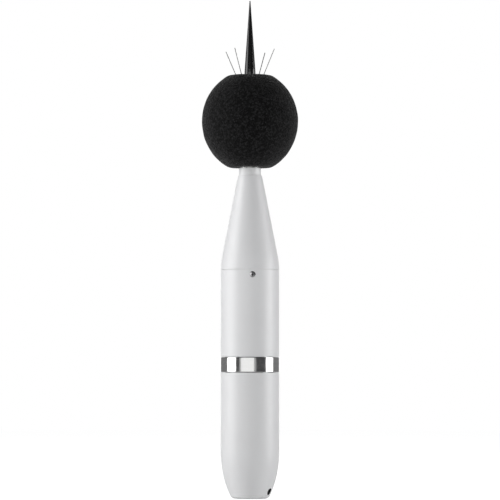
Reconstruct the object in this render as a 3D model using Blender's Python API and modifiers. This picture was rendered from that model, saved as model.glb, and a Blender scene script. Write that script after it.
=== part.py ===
"""Outdoor measuring microphone unit: a mast housing, an instrument tube with a tapered nose,
a bayonet locking ring between them, and a foam windscreen with bird spikes on top.

Lengths are in millimetres and become metres where a mesh is made. +Z is up, the origin is the
centre of the base, and azimuths run from the front (-Y) towards +X, in degrees.
"""

import math

import bmesh
import bpy
from mathutils import Matrix, Vector

MM = 0.001
GAP = 0.3  # between pieces that touch on the real object
MERGE = 0.00001  # metres
SHARP_ANGLE = math.radians(32)

CASE_STEPS = 36
PART_STEPS = 24
SMALL_STEPS = 16
TINY_STEPS = 12

# ---------------------------------------------------------------- driving dimensions
TUBE_R = 27.27
RING_R = 27.46
TOTAL_HEIGHT = 465.5
EDGE = 0.4  # chamfer on the tubes' ends
RING_EDGE = 0.55

HOUSING_TOP = 117.3
HOUSING_WALL = 2.4
TAPER_START = 42.0
TAPER_ARC_R = 93.0
BASE_FILLET = 4.6
FLOOR_TOP = 12.0
HOUSING_BORE_R = TUBE_R - HOUSING_WALL

MAST_BORE_R = 10.0
MAST_BORE_DEPTH = 40.0
MAST_SOCKET_TOP = MAST_BORE_DEPTH + 4.0
MAST_SLEEVE_R = 12.1
CABLE_HOLE_R = 8.0
SOCKET_FLANGE_R = 18.8
SOCKET_FLANGE_TOP = FLOOR_TOP + GAP + 2.5
SOCKET_SCREW_R = 1.3
SOCKET_SCREW_HEAD_R = 2.6
SOCKET_SCREW_HEAD = 1.8  # height of the head
SOCKET_SCREW_CIRCLE_R = 15.6
SOCKET_SCREW_AZIMUTHS = (0, 120, 240)
LOCK_AZIMUTH = 57
LOCK_HEIGHT = 6.8
LOCK_HOLE_R = 3.0
LOCK_SCREW_TIP = 13.0  # distance from the axis
LOCK_SCREW_LENGTH = 5.3
CLAMP_PAD_TIP = MAST_BORE_R + 0.6

RING_BOTTOM = HOUSING_TOP + GAP
RING_TOP = 131.6
RING_BORE_R = 25.4
RING_LIP_BORE_R = 23.3
RING_LIP_BOTTOM = RING_TOP - 2.3
SPIGOT_TOP = 125.6
SPIGOT_R = 23.4
SPIGOT_BORE_R = 21.6
SPIGOT_SEAT_R = HOUSING_BORE_R + 0.43  # where the spigot is pressed into the housing
SPIGOT_SEAT_BOTTOM = 105.0
SPIGOT_LUG_R = RING_BORE_R - 0.35
SPIGOT_LUG_BOTTOM = 122.2
LUG_HEIGHT = 2.6
LUG_GAP_WIDTH = 32.0
FLANGE_BOTTOM = 127.2
FLANGE_TOP = 131.0
FLANGE_NECK_TOP = 143.0
FLANGE_NECK_WALL = 1.7
SOCKET_AT = (11.5, -7.0)
SOCKET_THREAD_R = 5.5
SOCKET_BORE_R = 4.6
SOCKET_NUT_R = 6.9
SOCKET_MOUTH = 112.0
SOCKET_WEB = 120.5
SOCKET_TOP = 135.0
CANISTER_AT = (-8.0, 0.0)
CANISTER_R = 12.5
CANISTER_WALL = 1.2
CANISTER_MOUTH = 94.0
CANISTER_NECK_R = 7.0
CANISTER_VENT_R = 3.0
CAP_BOTTOM = 89.5
CAP_PLUG_TOP = CANISTER_MOUTH + 2.4

SEAM = 213.1
TUBE_WALL = 2.17
CASE_SCREW_AZIMUTHS = (0, 120, 240)
CASE_SCREW_HEIGHT = 208.3
CASE_SCREW_HEAD_R = 2.75
CASE_SCREW_SHANK_R = 1.3
CASE_SCREW_END = 21.2  # distance from the axis
CROSS_LENGTH = 3.2
CROSS_WIDTH = 0.7
CHASSIS_TOP = 196.0
CHASSIS_PLATE = 2.4  # thickness
CHASSIS_PLATE_R = 22.4
CHASSIS_PLATE_HOLE_R = 8.0
CHASSIS_ROD_R = 1.8
CHASSIS_ROD_CIRCLE_R = 19.0
CHASSIS_ROD_AZIMUTHS = (30, 180, 330)
BOARD_Y = 3.8
BOARD_BOTTOM = 137.5
BOARD_SIZE = (40.0, 1.6, 55.0)
CAPACITOR_R = 4.0
CAPACITOR_LENGTH = 12.0
CAPACITOR_X = (4.0, 13.5)
LEAD_AT = (5.0, 0.2)
LEAD_BOTTOM = 190.8
LEAD_R = 1.3

NOSE_TOP = 301.3
NOSE_SHOULDER = 294.0
NOSE_SLOPE = 0.197  # radius lost for each millimetre of height
NOSE_APEX = 220.0  # where the cone would meet the tube with no blend
NOSE_BLEND_R = 66.0
NOSE_WALL = 2.35
NOSE_SPIGOT_R = TUBE_R - TUBE_WALL - GAP
NOSE_SPIGOT_WALL = 1.95
NOSE_SPIGOT_BOTTOM = 202.0
SEAL_HEIGHT = 204.2
SEAL_GROOVE_R = 23.4
SEAL_GROOVE_WIDTH = 2.0
SEAL_MAJOR_R = 24.25
SEAL_MINOR_R = 0.55

STEM_R = 9.0
STEM_BORE_R = 7.6
STEM_TOP = 327.0
STEM_BOTTOM = 290.0
STEM_FLANGE_R = STEM_R + 1.0
INSULATOR_HEIGHT = 4.0
COLLAR_R = 10.35
COLLAR_TOP = 308.3
MIC_R = 6.35  # half-inch microphone and preamplifier
MIC_LENGTH = 12.7
MIC_GROOVE = 5.6  # above the cartridge's lower end
DIAPHRAGM_R = 5.2
GRID_R = 6.6
GRID_BORE_R = 5.7
GRID_WALL = 0.8
GRID_HEIGHT = 5.4
GRID_HOLE_R = 0.7
GRID_HOLE_CIRCLE_R = 3.3
PREAMP_TOP = 326.6
PREAMP_BOTTOM = 238.0
PREAMP_GROOVE = 260.0
PREAMP_GROOVE_R = MIC_R - 0.45
PLUG_R = MIC_R - 0.4
PLUG_BOTTOM = 222.0
RAIN_COVER_TOP = 353.0
RAIN_COVER_SHOULDER = 349.2
RAIN_COVER_R = STEM_R - 0.2
RAIN_COVER_BORE_R = STEM_BORE_R - 0.2
COVER_SLOT = (1.8, 7.0)  # width and height
ACTUATOR_BOTTOM = 347.2
ACTUATOR_PLATE = 1.2  # thickness

FOAM_R = 45.0
FOAM_HALF_LENGTH = 48.2  # of the ellipsoid, before its ends are cut flat
FOAM_BOTTOM = 308.7
FOAM_TOP = 395.4
FOAM_EDGE_R = 3.0
FOAM_BORE_R = 10.4
FOAM_BORE_TOP = 356.5
SLEEVE_HEIGHT = 16.0

HUB_R = 9.5
HUB_BOTTOM = 372.0
HUB_TOP = 379.7
SPIKE_R = 5.2
SPIKE_SHANK_R = 2.0
SPIKE_CONE_START = 400.0
SPIKE_TIP_R = 0.45
WIRE_R = 0.4
WIRE_CLEARANCE = 0.35
WIRE_SLOPE = 0.4915  # radius gained for each millimetre of height
WIRE_TIP = (26.7, 418.8)
WIRE_AZIMUTHS = (53, 143, 233, 323)


# ---------------------------------------------------------------- scene and materials
def clear_scene():
    for obj in list(bpy.data.objects):
        bpy.data.objects.remove(obj, do_unlink=True)


def new_collection(name):
    made = bpy.data.collections.new(name)
    bpy.context.scene.collection.children.link(made)
    return made


def material(name, color, roughness, metallic=0.0, alpha=1.0):
    made = bpy.data.materials.new(name)
    made.use_nodes = True
    shader = made.node_tree.nodes["Principled BSDF"]
    shader.inputs["Base Color"].default_value = (*color, 1.0)
    shader.inputs["Roughness"].default_value = roughness
    shader.inputs["Metallic"].default_value = metallic
    shader.inputs["Alpha"].default_value = alpha
    made.diffuse_color = (*color, alpha)
    return made


def make_materials():
    return {
        "shell_white": material("shell_white", (0.80, 0.81, 0.82), 0.38),
        "ring_steel": material("ring_steel", (0.74, 0.74, 0.74), 0.10, 1.0),
        "wire_steel": material("wire_steel", (0.55, 0.55, 0.55), 0.28, 1.0),
        "stem_steel": material("stem_steel", (0.62, 0.62, 0.61), 0.25, 1.0),
        "alloy": material("alloy", (0.70, 0.71, 0.72), 0.35, 1.0),
        "brass": material("brass", (0.78, 0.60, 0.30), 0.30, 1.0),
        "black_plastic": material("black_plastic", (0.012, 0.012, 0.013), 0.18),
        "black_steel": material("black_steel", (0.02, 0.02, 0.02), 0.35, 1.0),
        "foam": material("foam", (0.018, 0.018, 0.018), 0.95),
        "rubber": material("rubber", (0.02, 0.02, 0.02), 0.60),
        "ptfe": material("ptfe", (0.85, 0.85, 0.83), 0.45),
        "board": material("board", (0.02, 0.16, 0.07), 0.45),
        "component": material("component", (0.03, 0.03, 0.035), 0.50),
        "capacitor": material("capacitor", (0.05, 0.07, 0.20), 0.35),
        "clear_plastic": material("clear_plastic", (0.85, 0.88, 0.90), 0.10, 0.0, 0.35),
        "silica_gel": material("silica_gel", (0.85, 0.33, 0.04), 0.40),
        "cable_jacket": material("cable_jacket", (0.05, 0.05, 0.05), 0.50),
    }


# ---------------------------------------------------------------- shape helpers
def outward(azimuth):
    """Unit vector that points away from the axis at that azimuth."""
    angle = math.radians(azimuth)
    return Vector((math.sin(angle), -math.cos(angle), 0.0))


def radial_frame(azimuth, height):
    """Turns local +Z to point outward at the azimuth, with local +Y up, at that height."""
    return (
        Matrix.Translation((0, 0, height * MM))
        @ Matrix.Rotation(math.radians(azimuth), 4, "Z")
        @ Matrix.Rotation(math.radians(90), 4, "X")
    )


def upright_at(x, y):
    """Moves a piece sideways from the main axis."""
    return Matrix.Translation((x * MM, y * MM, 0))


def upright_around(radius, azimuth):
    spot = outward(azimuth) * radius
    return upright_at(spot.x, spot.y)


def arc(centre_r, centre_z, radius, start, end, count):
    """Points (r, z) round an arc. Angles are in degrees above the outward horizontal."""
    points = []
    for i in range(count + 1):
        angle = math.radians(start + (end - start) * i / count)
        points.append((centre_r + radius * math.cos(angle), centre_z + radius * math.sin(angle)))
    return points


def add_object(name, mesh, matrix=None):
    """A new part with that mesh, its round faces shaded smooth and its corners sharp."""
    mesh.shade_smooth()
    mesh.set_sharp_from_angle(angle=SHARP_ANGLE)
    obj = bpy.data.objects.new(name, mesh)
    PARTS.objects.link(obj)
    if matrix is not None:
        obj.matrix_world = matrix
    return obj


def mesh_of(data, add_modifier=None):
    """The evaluated mesh of a curve, or of a mesh with a modifier, closed and with its faces out."""
    shaped = bpy.data.objects.new("shaping", data)
    PARTS.objects.link(shaped)
    if add_modifier:
        add_modifier(shaped.modifiers)
    bpy.context.view_layer.update()
    evaluated = shaped.evaluated_get(bpy.context.evaluated_depsgraph_get())
    mesh = bpy.data.meshes.new_from_object(evaluated)
    bpy.data.objects.remove(shaped)
    work = bmesh.new()
    work.from_mesh(mesh)
    bmesh.ops.remove_doubles(work, verts=work.verts, dist=MERGE)
    bmesh.ops.recalc_face_normals(work, faces=work.faces)
    work.to_mesh(mesh)
    work.free()
    return mesh


def turned(name, profile, steps=PART_STEPS, matrix=None):
    """A solid turned about its own Z. The profile is (radius, height), from the top down the outer
    side, and it closes on itself, or on the axis where it starts and ends there."""
    outline = bpy.data.meshes.new(name)
    edges = [(i, i + 1) for i in range(len(profile) - 1)]
    if profile[0][0] > 0 or profile[-1][0] > 0:
        edges.append((len(profile) - 1, 0))
    outline.from_pydata([(r * MM, 0, z * MM) for r, z in profile], edges, [])

    def add_turn(modifiers):
        turn = modifiers.new("turn", "SCREW")
        turn.steps = turn.render_steps = steps
        turn.use_merge_vertices = True
        turn.merge_threshold = MERGE

    return add_object(name, mesh_of(outline, add_turn), matrix)


def disc(name, radius, bottom, top, steps=PART_STEPS, matrix=None):
    """A plain cylinder along its own Z, or a prism where the steps are few."""
    mesh = bpy.data.meshes.new(name)
    work = bmesh.new()
    place = Matrix.Translation((0, 0, (bottom + top) / 2 * MM))
    bmesh.ops.create_cone(
        work,
        cap_ends=True,
        segments=steps,
        radius1=radius * MM,
        radius2=radius * MM,
        depth=(top - bottom) * MM,
        matrix=place,
    )
    work.to_mesh(mesh)
    work.free()
    return add_object(name, mesh, matrix)


def ring(name, inner, outer, bottom, top, steps=PART_STEPS, matrix=None):
    profile = [(inner, top), (outer, top), (outer, bottom), (inner, bottom)]
    return turned(name, profile, steps, matrix)


def seal_ring(name, major, minor, height, steps=PART_STEPS, sides=6):
    """An O-ring lying flat at that height."""
    half_side = 180 / sides
    points = arc(major, height, minor, 90 - half_side, 90 - half_side - 360, sides)
    return turned(name, points[:-1], steps)


def block(name, size, centre, bevel=0.0, matrix=None):
    """A box of that size, with its edges rounded where a bevel is given."""
    mesh = bpy.data.meshes.new(name)
    work = bmesh.new()
    bmesh.ops.create_cube(work, size=1.0)
    bmesh.ops.scale(work, vec=Vector(size) * MM, verts=work.verts)
    bmesh.ops.translate(work, vec=Vector(centre) * MM, verts=work.verts)
    work.to_mesh(mesh)
    work.free()
    obj = add_object(name, mesh, matrix)
    if bevel:
        rounding = obj.modifiers.new("bevel", "BEVEL")
        rounding.width = bevel * MM
        rounding.segments = 2
    return obj


def wire(name, points, radius):
    """A wire or lead of round section along points, in mm."""
    curve = bpy.data.curves.new(name, "CURVE")
    curve.dimensions = "3D"
    curve.bevel_depth = radius * MM
    curve.bevel_resolution = 2
    curve.use_fill_caps = True
    spline = curve.splines.new("POLY")
    spline.points.add(len(points) - 1)
    for spot, point in zip(spline.points, points):
        spot.co = (*(Vector(point) * MM), 1.0)
    return add_object(name, mesh_of(curve))


def combine(obj, others, operation):
    """Cuts the others from obj or joins them to it, and keeps them among the cutters."""
    for other in others:
        change = obj.modifiers.new(operation.lower(), "BOOLEAN")
        change.operation = operation
        change.object = other
        change.solver = "EXACT"
        if other.name not in CUTTERS.objects:
            PARTS.objects.unlink(other)
            CUTTERS.objects.link(other)
            other.hide_render = True
            other.display_type = "WIRE"
    return obj


def cut(obj, *cutters):
    return combine(obj, cutters, "DIFFERENCE")


def join(obj, *pieces):
    return combine(obj, pieces, "UNION")


# ---------------------------------------------------------------- mast housing
def taper_profile():
    """The housing's outer side from the end of its straight tube down to its flat base."""
    centre_r = TUBE_R - TAPER_ARC_R
    reach = TAPER_ARC_R - BASE_FILLET
    end = math.degrees(math.asin((TAPER_START - BASE_FILLET) / reach))
    fillet_r = centre_r + reach * math.cos(math.radians(end))
    side = arc(centre_r, TAPER_START, TAPER_ARC_R, 0, -end, 5)
    return side[:-1] + arc(fillet_r, BASE_FILLET, BASE_FILLET, -end, -90, 3)


def taper_radius(height):
    """Outer radius of the tapered side at that height."""
    drop = TAPER_START - height
    return TUBE_R - TAPER_ARC_R + math.sqrt(TAPER_ARC_R**2 - drop**2)


def bayonet_lugs(inner, outer, bottom, top, first_gap):
    """Three arc lugs, left from a full ring by three gaps."""
    lugs = ring("lugs", inner, outer, bottom, top, CASE_STEPS)
    gap_size = (LUG_GAP_WIDTH, 2 * (top - bottom), 2 * outer)
    for azimuth in range(first_gap, 360, 120):
        frame = radial_frame(azimuth, (bottom + top) / 2)
        cut(lugs, block("lug_gap", gap_size, (0, 0, outer + 10.0), matrix=frame))
    return lugs


def make_lock_hole():
    frame = radial_frame(LOCK_AZIMUTH, LOCK_HEIGHT)
    return disc("lock_hole", LOCK_HOLE_R, MAST_BORE_R - 4, TUBE_R + 3, SMALL_STEPS, frame)


def make_fixing_holes():
    """Holes for the screws that hold the mast socket to the housing's floor."""
    bottom, top = FLOOR_TOP - 7, FLOOR_TOP + 4
    holes = []
    for azimuth in SOCKET_SCREW_AZIMUTHS:
        place = upright_around(SOCKET_SCREW_CIRCLE_R, azimuth)
        holes.append(disc("fixing_hole", SOCKET_SCREW_R + GAP, bottom, top, TINY_STEPS, place))
    return holes


def make_lower_housing(lock_hole, fixing_holes):
    """The white shell: a straight tube that draws in to a flat base with a floor inside."""
    step = (TAPER_START - FLOOR_TOP) / 3
    inner_heights = [FLOOR_TOP + step * i for i in range(4)]
    profile = [
        (SPIGOT_SEAT_R + GAP, HOUSING_TOP),
        (TUBE_R - EDGE, HOUSING_TOP),
        (TUBE_R, HOUSING_TOP - EDGE),
        *taper_profile(),
        (MAST_SLEEVE_R + GAP, 0),
        (MAST_SLEEVE_R + GAP, FLOOR_TOP),
        *[(taper_radius(height) - HOUSING_WALL, height) for height in inner_heights],
        (HOUSING_BORE_R, SPIGOT_SEAT_BOTTOM - GAP),
        (SPIGOT_SEAT_R + GAP, SPIGOT_SEAT_BOTTOM - GAP),
    ]
    return cut(turned("lower_housing", profile, CASE_STEPS), lock_hole, *fixing_holes)


def make_housing_spigot():
    """The ring pressed into the housing's top, with the lugs that the locking ring hooks under."""
    lead_in = 2.4
    profile = [
        (SPIGOT_BORE_R, SPIGOT_TOP),
        (SPIGOT_R, SPIGOT_TOP),
        (SPIGOT_R, HOUSING_TOP - GAP),
        (SPIGOT_SEAT_R, HOUSING_TOP - GAP),
        (SPIGOT_SEAT_R, SPIGOT_SEAT_BOTTOM),
        (SPIGOT_BORE_R + lead_in, SPIGOT_SEAT_BOTTOM),
        (SPIGOT_BORE_R, SPIGOT_SEAT_BOTTOM + lead_in),
    ]
    spigot = turned("housing_spigot", profile, CASE_STEPS)
    bottom, top = SPIGOT_LUG_BOTTOM, SPIGOT_LUG_BOTTOM + LUG_HEIGHT
    return join(spigot, bayonet_lugs(SPIGOT_R - 1, SPIGOT_LUG_R, bottom, top, 60))


def make_mast_socket(lock_hole, fixing_holes):
    """The sleeve that slips over the mast's spigot, with a flange screwed to the housing's floor."""
    lead_in = 0.6
    profile = [
        (CABLE_HOLE_R, MAST_SOCKET_TOP),
        (MAST_SLEEVE_R, MAST_SOCKET_TOP),
        (MAST_SLEEVE_R, SOCKET_FLANGE_TOP),
        (SOCKET_FLANGE_R, SOCKET_FLANGE_TOP),
        (SOCKET_FLANGE_R, FLOOR_TOP + GAP),
        (MAST_SLEEVE_R, FLOOR_TOP + GAP),
        (MAST_SLEEVE_R, lead_in),
        (MAST_SLEEVE_R - lead_in, 0),
        (MAST_BORE_R + lead_in, 0),
        (MAST_BORE_R, lead_in),
        (MAST_BORE_R, MAST_BORE_DEPTH),
        (CABLE_HOLE_R, MAST_BORE_DEPTH),
    ]
    socket = turned("mast_socket", profile, PART_STEPS)
    return cut(socket, lock_hole, *fixing_holes)


def make_socket_screws():
    seat, end, dome = SOCKET_FLANGE_TOP + GAP, FLOOR_TOP - 6, 0.7
    top = seat + SOCKET_SCREW_HEAD
    profile = [
        (0, top),
        (SOCKET_SCREW_HEAD_R - dome, top),
        (SOCKET_SCREW_HEAD_R, top - dome),
        (SOCKET_SCREW_HEAD_R, seat),
        (SOCKET_SCREW_R, seat),
        (SOCKET_SCREW_R, end),
        (0, end),
    ]
    screws = []
    for i, azimuth in enumerate(SOCKET_SCREW_AZIMUTHS, 1):
        place = upright_around(SOCKET_SCREW_CIRCLE_R, azimuth)
        screw = turned(f"socket_screw_{i}", profile, TINY_STEPS, place)
        screws.append(cut(screw, disc("hexagon", 1.1, top - 1, top + 1, 6, place)))
    return screws


def make_clamp_pad():
    """The brass pad that the lock screw pushes against the mast."""
    frame, pad_r, pad_end = radial_frame(LOCK_AZIMUTH, LOCK_HEIGHT), LOCK_HOLE_R - 0.6, LOCK_SCREW_TIP - GAP
    return disc("clamp_pad", pad_r, CLAMP_PAD_TIP, pad_end, SMALL_STEPS, frame)


def make_lock_screw():
    """The hexagon-socket grub screw in the side of the base."""
    tip, end, chamfer = LOCK_SCREW_TIP, LOCK_SCREW_TIP + LOCK_SCREW_LENGTH, 0.5
    radius, hexagon_r, hexagon_depth = LOCK_HOLE_R - GAP, 1.5, 2.8
    frame = radial_frame(LOCK_AZIMUTH, LOCK_HEIGHT)
    profile = [
        (0, end),
        (radius - chamfer, end),
        (radius, end - chamfer),
        (radius, tip + chamfer),
        (radius - chamfer, tip),
        (0, tip),
    ]
    screw = turned("lock_screw", profile, SMALL_STEPS, frame)
    return cut(screw, disc("hexagon", hexagon_r, end - hexagon_depth, end + 2, 6, frame))


# ---------------------------------------------------------------- locking ring and flange
def make_union_ring():
    """The polished ring: its lip holds the flange, and its lugs hook under the spigot's."""
    profile = [
        (RING_LIP_BORE_R, RING_TOP),
        (RING_R - RING_EDGE, RING_TOP),
        (RING_R, RING_TOP - RING_EDGE),
        (RING_R, RING_BOTTOM + RING_EDGE),
        (RING_R - RING_EDGE, RING_BOTTOM),
        (RING_BORE_R, RING_BOTTOM),
        (RING_BORE_R, RING_LIP_BOTTOM),
        (RING_LIP_BORE_R, RING_LIP_BOTTOM),
    ]
    locking_ring = turned("union_ring", profile, CASE_STEPS)
    top = SPIGOT_LUG_BOTTOM - GAP
    lugs = bayonet_lugs(SPIGOT_R + GAP, RING_BORE_R + 0.8, top - LUG_HEIGHT, top, 0)
    return join(locking_ring, lugs)


def make_coupling_flange():
    """The instrument's lower end: a floor, a flange under the ring's lip, and a neck for the tube."""
    neck_r = RING_LIP_BORE_R - GAP
    profile = [
        (0, FLANGE_TOP),
        (neck_r - FLANGE_NECK_WALL, FLANGE_TOP),
        (neck_r - FLANGE_NECK_WALL, FLANGE_NECK_TOP),
        (neck_r, FLANGE_NECK_TOP),
        (neck_r, RING_LIP_BOTTOM - GAP),
        (RING_BORE_R - GAP, RING_LIP_BOTTOM - GAP),
        (RING_BORE_R - GAP, FLANGE_BOTTOM),
        (0, FLANGE_BOTTOM),
    ]
    flange = turned("coupling_flange", profile, CASE_STEPS)
    bottom, top = FLANGE_BOTTOM - 5, FLANGE_TOP + 5
    for name, radius, spot in (
        ("socket_hole", SOCKET_THREAD_R + GAP, SOCKET_AT),
        ("canister_hole", CANISTER_NECK_R + GAP, CANISTER_AT),
    ):
        cut(flange, disc(name, radius, bottom, top, SMALL_STEPS, upright_at(*spot)))
    return flange


def make_coupling_gasket():
    bottom, top = SPIGOT_TOP + GAP, FLANGE_BOTTOM - GAP
    return ring("coupling_gasket", SPIGOT_BORE_R, SPIGOT_R, bottom, top, PART_STEPS)


def make_cable_socket():
    """Panel connector for the mast cable: metal shell, insulator and the nut above the floor."""
    place = upright_at(*SOCKET_AT)
    shoulder = FLANGE_BOTTOM - GAP
    thread, body = SOCKET_THREAD_R, SOCKET_THREAD_R + 1.2
    profile = [
        (0, SOCKET_TOP),
        (thread, SOCKET_TOP),
        (thread, shoulder),
        (body, shoulder),
        (body, shoulder - 3),
        (thread, shoulder - 4),
        (thread, SOCKET_MOUTH + EDGE),
        (thread - EDGE, SOCKET_MOUTH),
        (SOCKET_BORE_R, SOCKET_MOUTH),
        (SOCKET_BORE_R, SOCKET_WEB),
        (0, SOCKET_WEB),
    ]
    shell = turned("cable_socket", profile, SMALL_STEPS, place)
    insert_r, insert_bottom, insert_top = SOCKET_BORE_R - GAP, SOCKET_MOUTH + 2, SOCKET_WEB - GAP
    insert = disc("socket_insert", insert_r, insert_bottom, insert_top, SMALL_STEPS, place)
    key, key_at = (1.4, 1.4, 9.0), (0, -insert_r, (insert_bottom + insert_top) / 2)
    cut(insert, block("key_slot", key, key_at, matrix=place))
    nut = disc("socket_nut", SOCKET_NUT_R, FLANGE_TOP + GAP, FLANGE_TOP + 3, 6, place)
    cut(nut, disc("nut_hole", thread + GAP, FLANGE_TOP - 1, FLANGE_TOP + 5, SMALL_STEPS, place))
    return shell, insert, nut


def make_desiccant():
    """Clear canister of silica gel that hangs into the mast housing, with its screw cap."""
    place = upright_at(*CANISTER_AT)
    shoulder, neck_top = FLANGE_BOTTOM - GAP, FLANGE_TOP + 3
    inner, corner, cap_edge = CANISTER_R - CANISTER_WALL, 1.5, 1.0
    canister_profile = [
        (CANISTER_VENT_R, neck_top),
        (CANISTER_NECK_R, neck_top),
        (CANISTER_NECK_R, shoulder),
        (CANISTER_R - corner, shoulder),
        (CANISTER_R, shoulder - corner),
        (CANISTER_R, CANISTER_MOUTH),
        (inner, CANISTER_MOUTH),
        (inner, shoulder - 4),
        (CANISTER_VENT_R, shoulder - 2),
    ]
    cap_profile = [
        (0, CAP_PLUG_TOP),
        (inner - GAP, CAP_PLUG_TOP),
        (inner - GAP, CANISTER_MOUTH - GAP),
        (CANISTER_R, CANISTER_MOUTH - GAP),
        (CANISTER_R, CAP_BOTTOM + cap_edge),
        (CANISTER_R - cap_edge, CAP_BOTTOM),
        (0, CAP_BOTTOM),
    ]
    canister = turned("desiccant_canister", canister_profile, PART_STEPS, place)
    cap = turned("desiccant_cap", cap_profile, PART_STEPS, place)
    cut(cap, block("coin_slot", (14.0, 1.6, 2.0), (0, 0, CAP_BOTTOM), matrix=place))
    gel = disc("silica_gel", inner - GAP, CAP_PLUG_TOP + GAP, shoulder - 5, PART_STEPS, place)
    return canister, cap, gel


# ---------------------------------------------------------------- instrument tube and nose
def case_screw_outline(grow, head_top):
    """Outline of a countersunk screw along local +Z, whose head lies at the tube's surface."""
    head, shank, end = CASE_SCREW_HEAD_R + grow, CASE_SCREW_SHANK_R + grow, CASE_SCREW_END - grow
    rim_bottom = TUBE_R - 0.35
    cone_bottom = rim_bottom - (CASE_SCREW_HEAD_R - CASE_SCREW_SHANK_R)
    return [
        (0, head_top),
        (head, head_top),
        (head, rim_bottom),
        (shank, cone_bottom),
        (shank, end),
        (0, end),
    ]


def make_case_screw_holes():
    outline = case_screw_outline(GAP, TUBE_R + 4)
    frames = [radial_frame(azimuth, CASE_SCREW_HEIGHT) for azimuth in CASE_SCREW_AZIMUTHS]
    return [turned("case_screw_hole", outline, TINY_STEPS, frame) for frame in frames]


def make_case_screws():
    screws = []
    for i, azimuth in enumerate(CASE_SCREW_AZIMUTHS, 1):
        frame = radial_frame(azimuth, CASE_SCREW_HEIGHT)
        screw = turned(f"case_screw_{i}", case_screw_outline(0, TUBE_R), TINY_STEPS, frame)
        for size in ((CROSS_LENGTH, CROSS_WIDTH, 1.8), (CROSS_WIDTH, CROSS_LENGTH, 1.8)):
            cut(screw, block("cross_recess", size, (0, 0, TUBE_R), matrix=frame))
        screws.append(screw)
    return screws


def make_upper_tube(screw_holes):
    """The instrument's white tube, thicker at its foot, where it sits round the flange's neck."""
    bottom, bore, foot_top = RING_TOP + GAP, TUBE_R - TUBE_WALL, FLANGE_NECK_TOP + 0.7
    profile = [
        (bore, SEAM),
        (TUBE_R - EDGE, SEAM),
        (TUBE_R, SEAM - EDGE),
        (TUBE_R, bottom + EDGE),
        (TUBE_R - EDGE, bottom),
        (RING_LIP_BORE_R, bottom),
        (RING_LIP_BORE_R, foot_top),
        (bore, foot_top + 1),
    ]
    return cut(turned("upper_tube", profile, CASE_STEPS), *screw_holes)


def nose_radius(height):
    """Outer radius of the nose's straight cone at that height."""
    return TUBE_R - (height - NOSE_APEX) * NOSE_SLOPE


def make_nose_cone(screw_holes):
    """The cone above the seam, with the spigot and seal groove that go into the tube."""
    half_angle = math.degrees(math.atan(NOSE_SLOPE))
    blend_bottom = NOSE_APEX - NOSE_BLEND_R * math.tan(math.radians(half_angle / 2))
    blend = arc(TUBE_R - NOSE_BLEND_R, blend_bottom, NOSE_BLEND_R, half_angle, 0, 3)
    spigot_bore = NOSE_SPIGOT_R - NOSE_SPIGOT_WALL
    wall_start = NOSE_APEX + (TUBE_R - NOSE_WALL - spigot_bore) / NOSE_SLOPE
    groove_top, groove_bottom = SEAL_HEIGHT + SEAL_GROOVE_WIDTH / 2, SEAL_HEIGHT - SEAL_GROOVE_WIDTH / 2
    bore = STEM_R + GAP
    profile = [
        (bore, NOSE_TOP),
        (nose_radius(NOSE_TOP) - EDGE, NOSE_TOP),
        (nose_radius(NOSE_TOP - EDGE), NOSE_TOP - EDGE),
        *blend,
        (TUBE_R, SEAM + GAP),
        (NOSE_SPIGOT_R, SEAM + GAP),
        (NOSE_SPIGOT_R, groove_top),
        (SEAL_GROOVE_R, groove_top),
        (SEAL_GROOVE_R, groove_bottom),
        (NOSE_SPIGOT_R, groove_bottom),
        (NOSE_SPIGOT_R, NOSE_SPIGOT_BOTTOM),
        (spigot_bore, NOSE_SPIGOT_BOTTOM),
        (spigot_bore, wall_start),
        (nose_radius(NOSE_SHOULDER) - NOSE_WALL, NOSE_SHOULDER),
        (bore, NOSE_SHOULDER),
    ]
    return cut(turned("nose_cone", profile, CASE_STEPS), *screw_holes)


def make_neck():
    """The collar under the windscreen, the steel stem through it and what the stem holds."""
    bore, bottom = STEM_R + GAP, NOSE_TOP + GAP
    collar_profile = [
        (bore, COLLAR_TOP),
        (COLLAR_R - 0.9, COLLAR_TOP),
        (COLLAR_R - 0.25, COLLAR_TOP - 0.3),
        (COLLAR_R, COLLAR_TOP - 1),
        (COLLAR_R, bottom),
        (bore, bottom),
    ]
    stem_profile = [
        (STEM_BORE_R, STEM_TOP),
        (STEM_R - GAP, STEM_TOP),
        (STEM_R, STEM_TOP - GAP),
        (STEM_R, NOSE_SHOULDER - GAP),
        (STEM_FLANGE_R, NOSE_SHOULDER - GAP),
        (STEM_FLANGE_R, STEM_BOTTOM),
        (STEM_BORE_R, STEM_BOTTOM),
    ]
    inner, outer = MIC_R + GAP, STEM_BORE_R - GAP
    insulators = [
        ring(name, inner, outer, low, low + INSULATOR_HEIGHT, SMALL_STEPS)
        for name, low in (("insulator_upper", STEM_TOP - 6), ("insulator_lower", STEM_BOTTOM + 1))
    ]
    return turned("neck_collar", collar_profile), turned("mic_stem", stem_profile), *insulators


def make_preamplifier():
    """The slim steel body under the microphone, and the plug at its lower end."""
    body = [
        (0, PREAMP_TOP),
        (MIC_R, PREAMP_TOP),
        (MIC_R, PREAMP_GROOVE + 2),
        (PREAMP_GROOVE_R, PREAMP_GROOVE + 1.5),
        (PREAMP_GROOVE_R, PREAMP_GROOVE - 1.5),
        (MIC_R, PREAMP_GROOVE - 2),
        (MIC_R, PREAMP_BOTTOM),
        (0, PREAMP_BOTTOM),
    ]
    plug_top, boot_r, boot_end_r = PREAMP_BOTTOM - GAP, 4.0, 2.2
    plug = [
        (0, plug_top),
        (PLUG_R - 0.6, plug_top),
        (PLUG_R, plug_top - 1.2),
        (PLUG_R, plug_top - 9),
        (boot_r, plug_top - 11),
        (boot_end_r, PLUG_BOTTOM),
        (0, PLUG_BOTTOM),
    ]
    return turned("preamplifier", body, SMALL_STEPS), turned("preamp_plug", plug, SMALL_STEPS)


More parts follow.
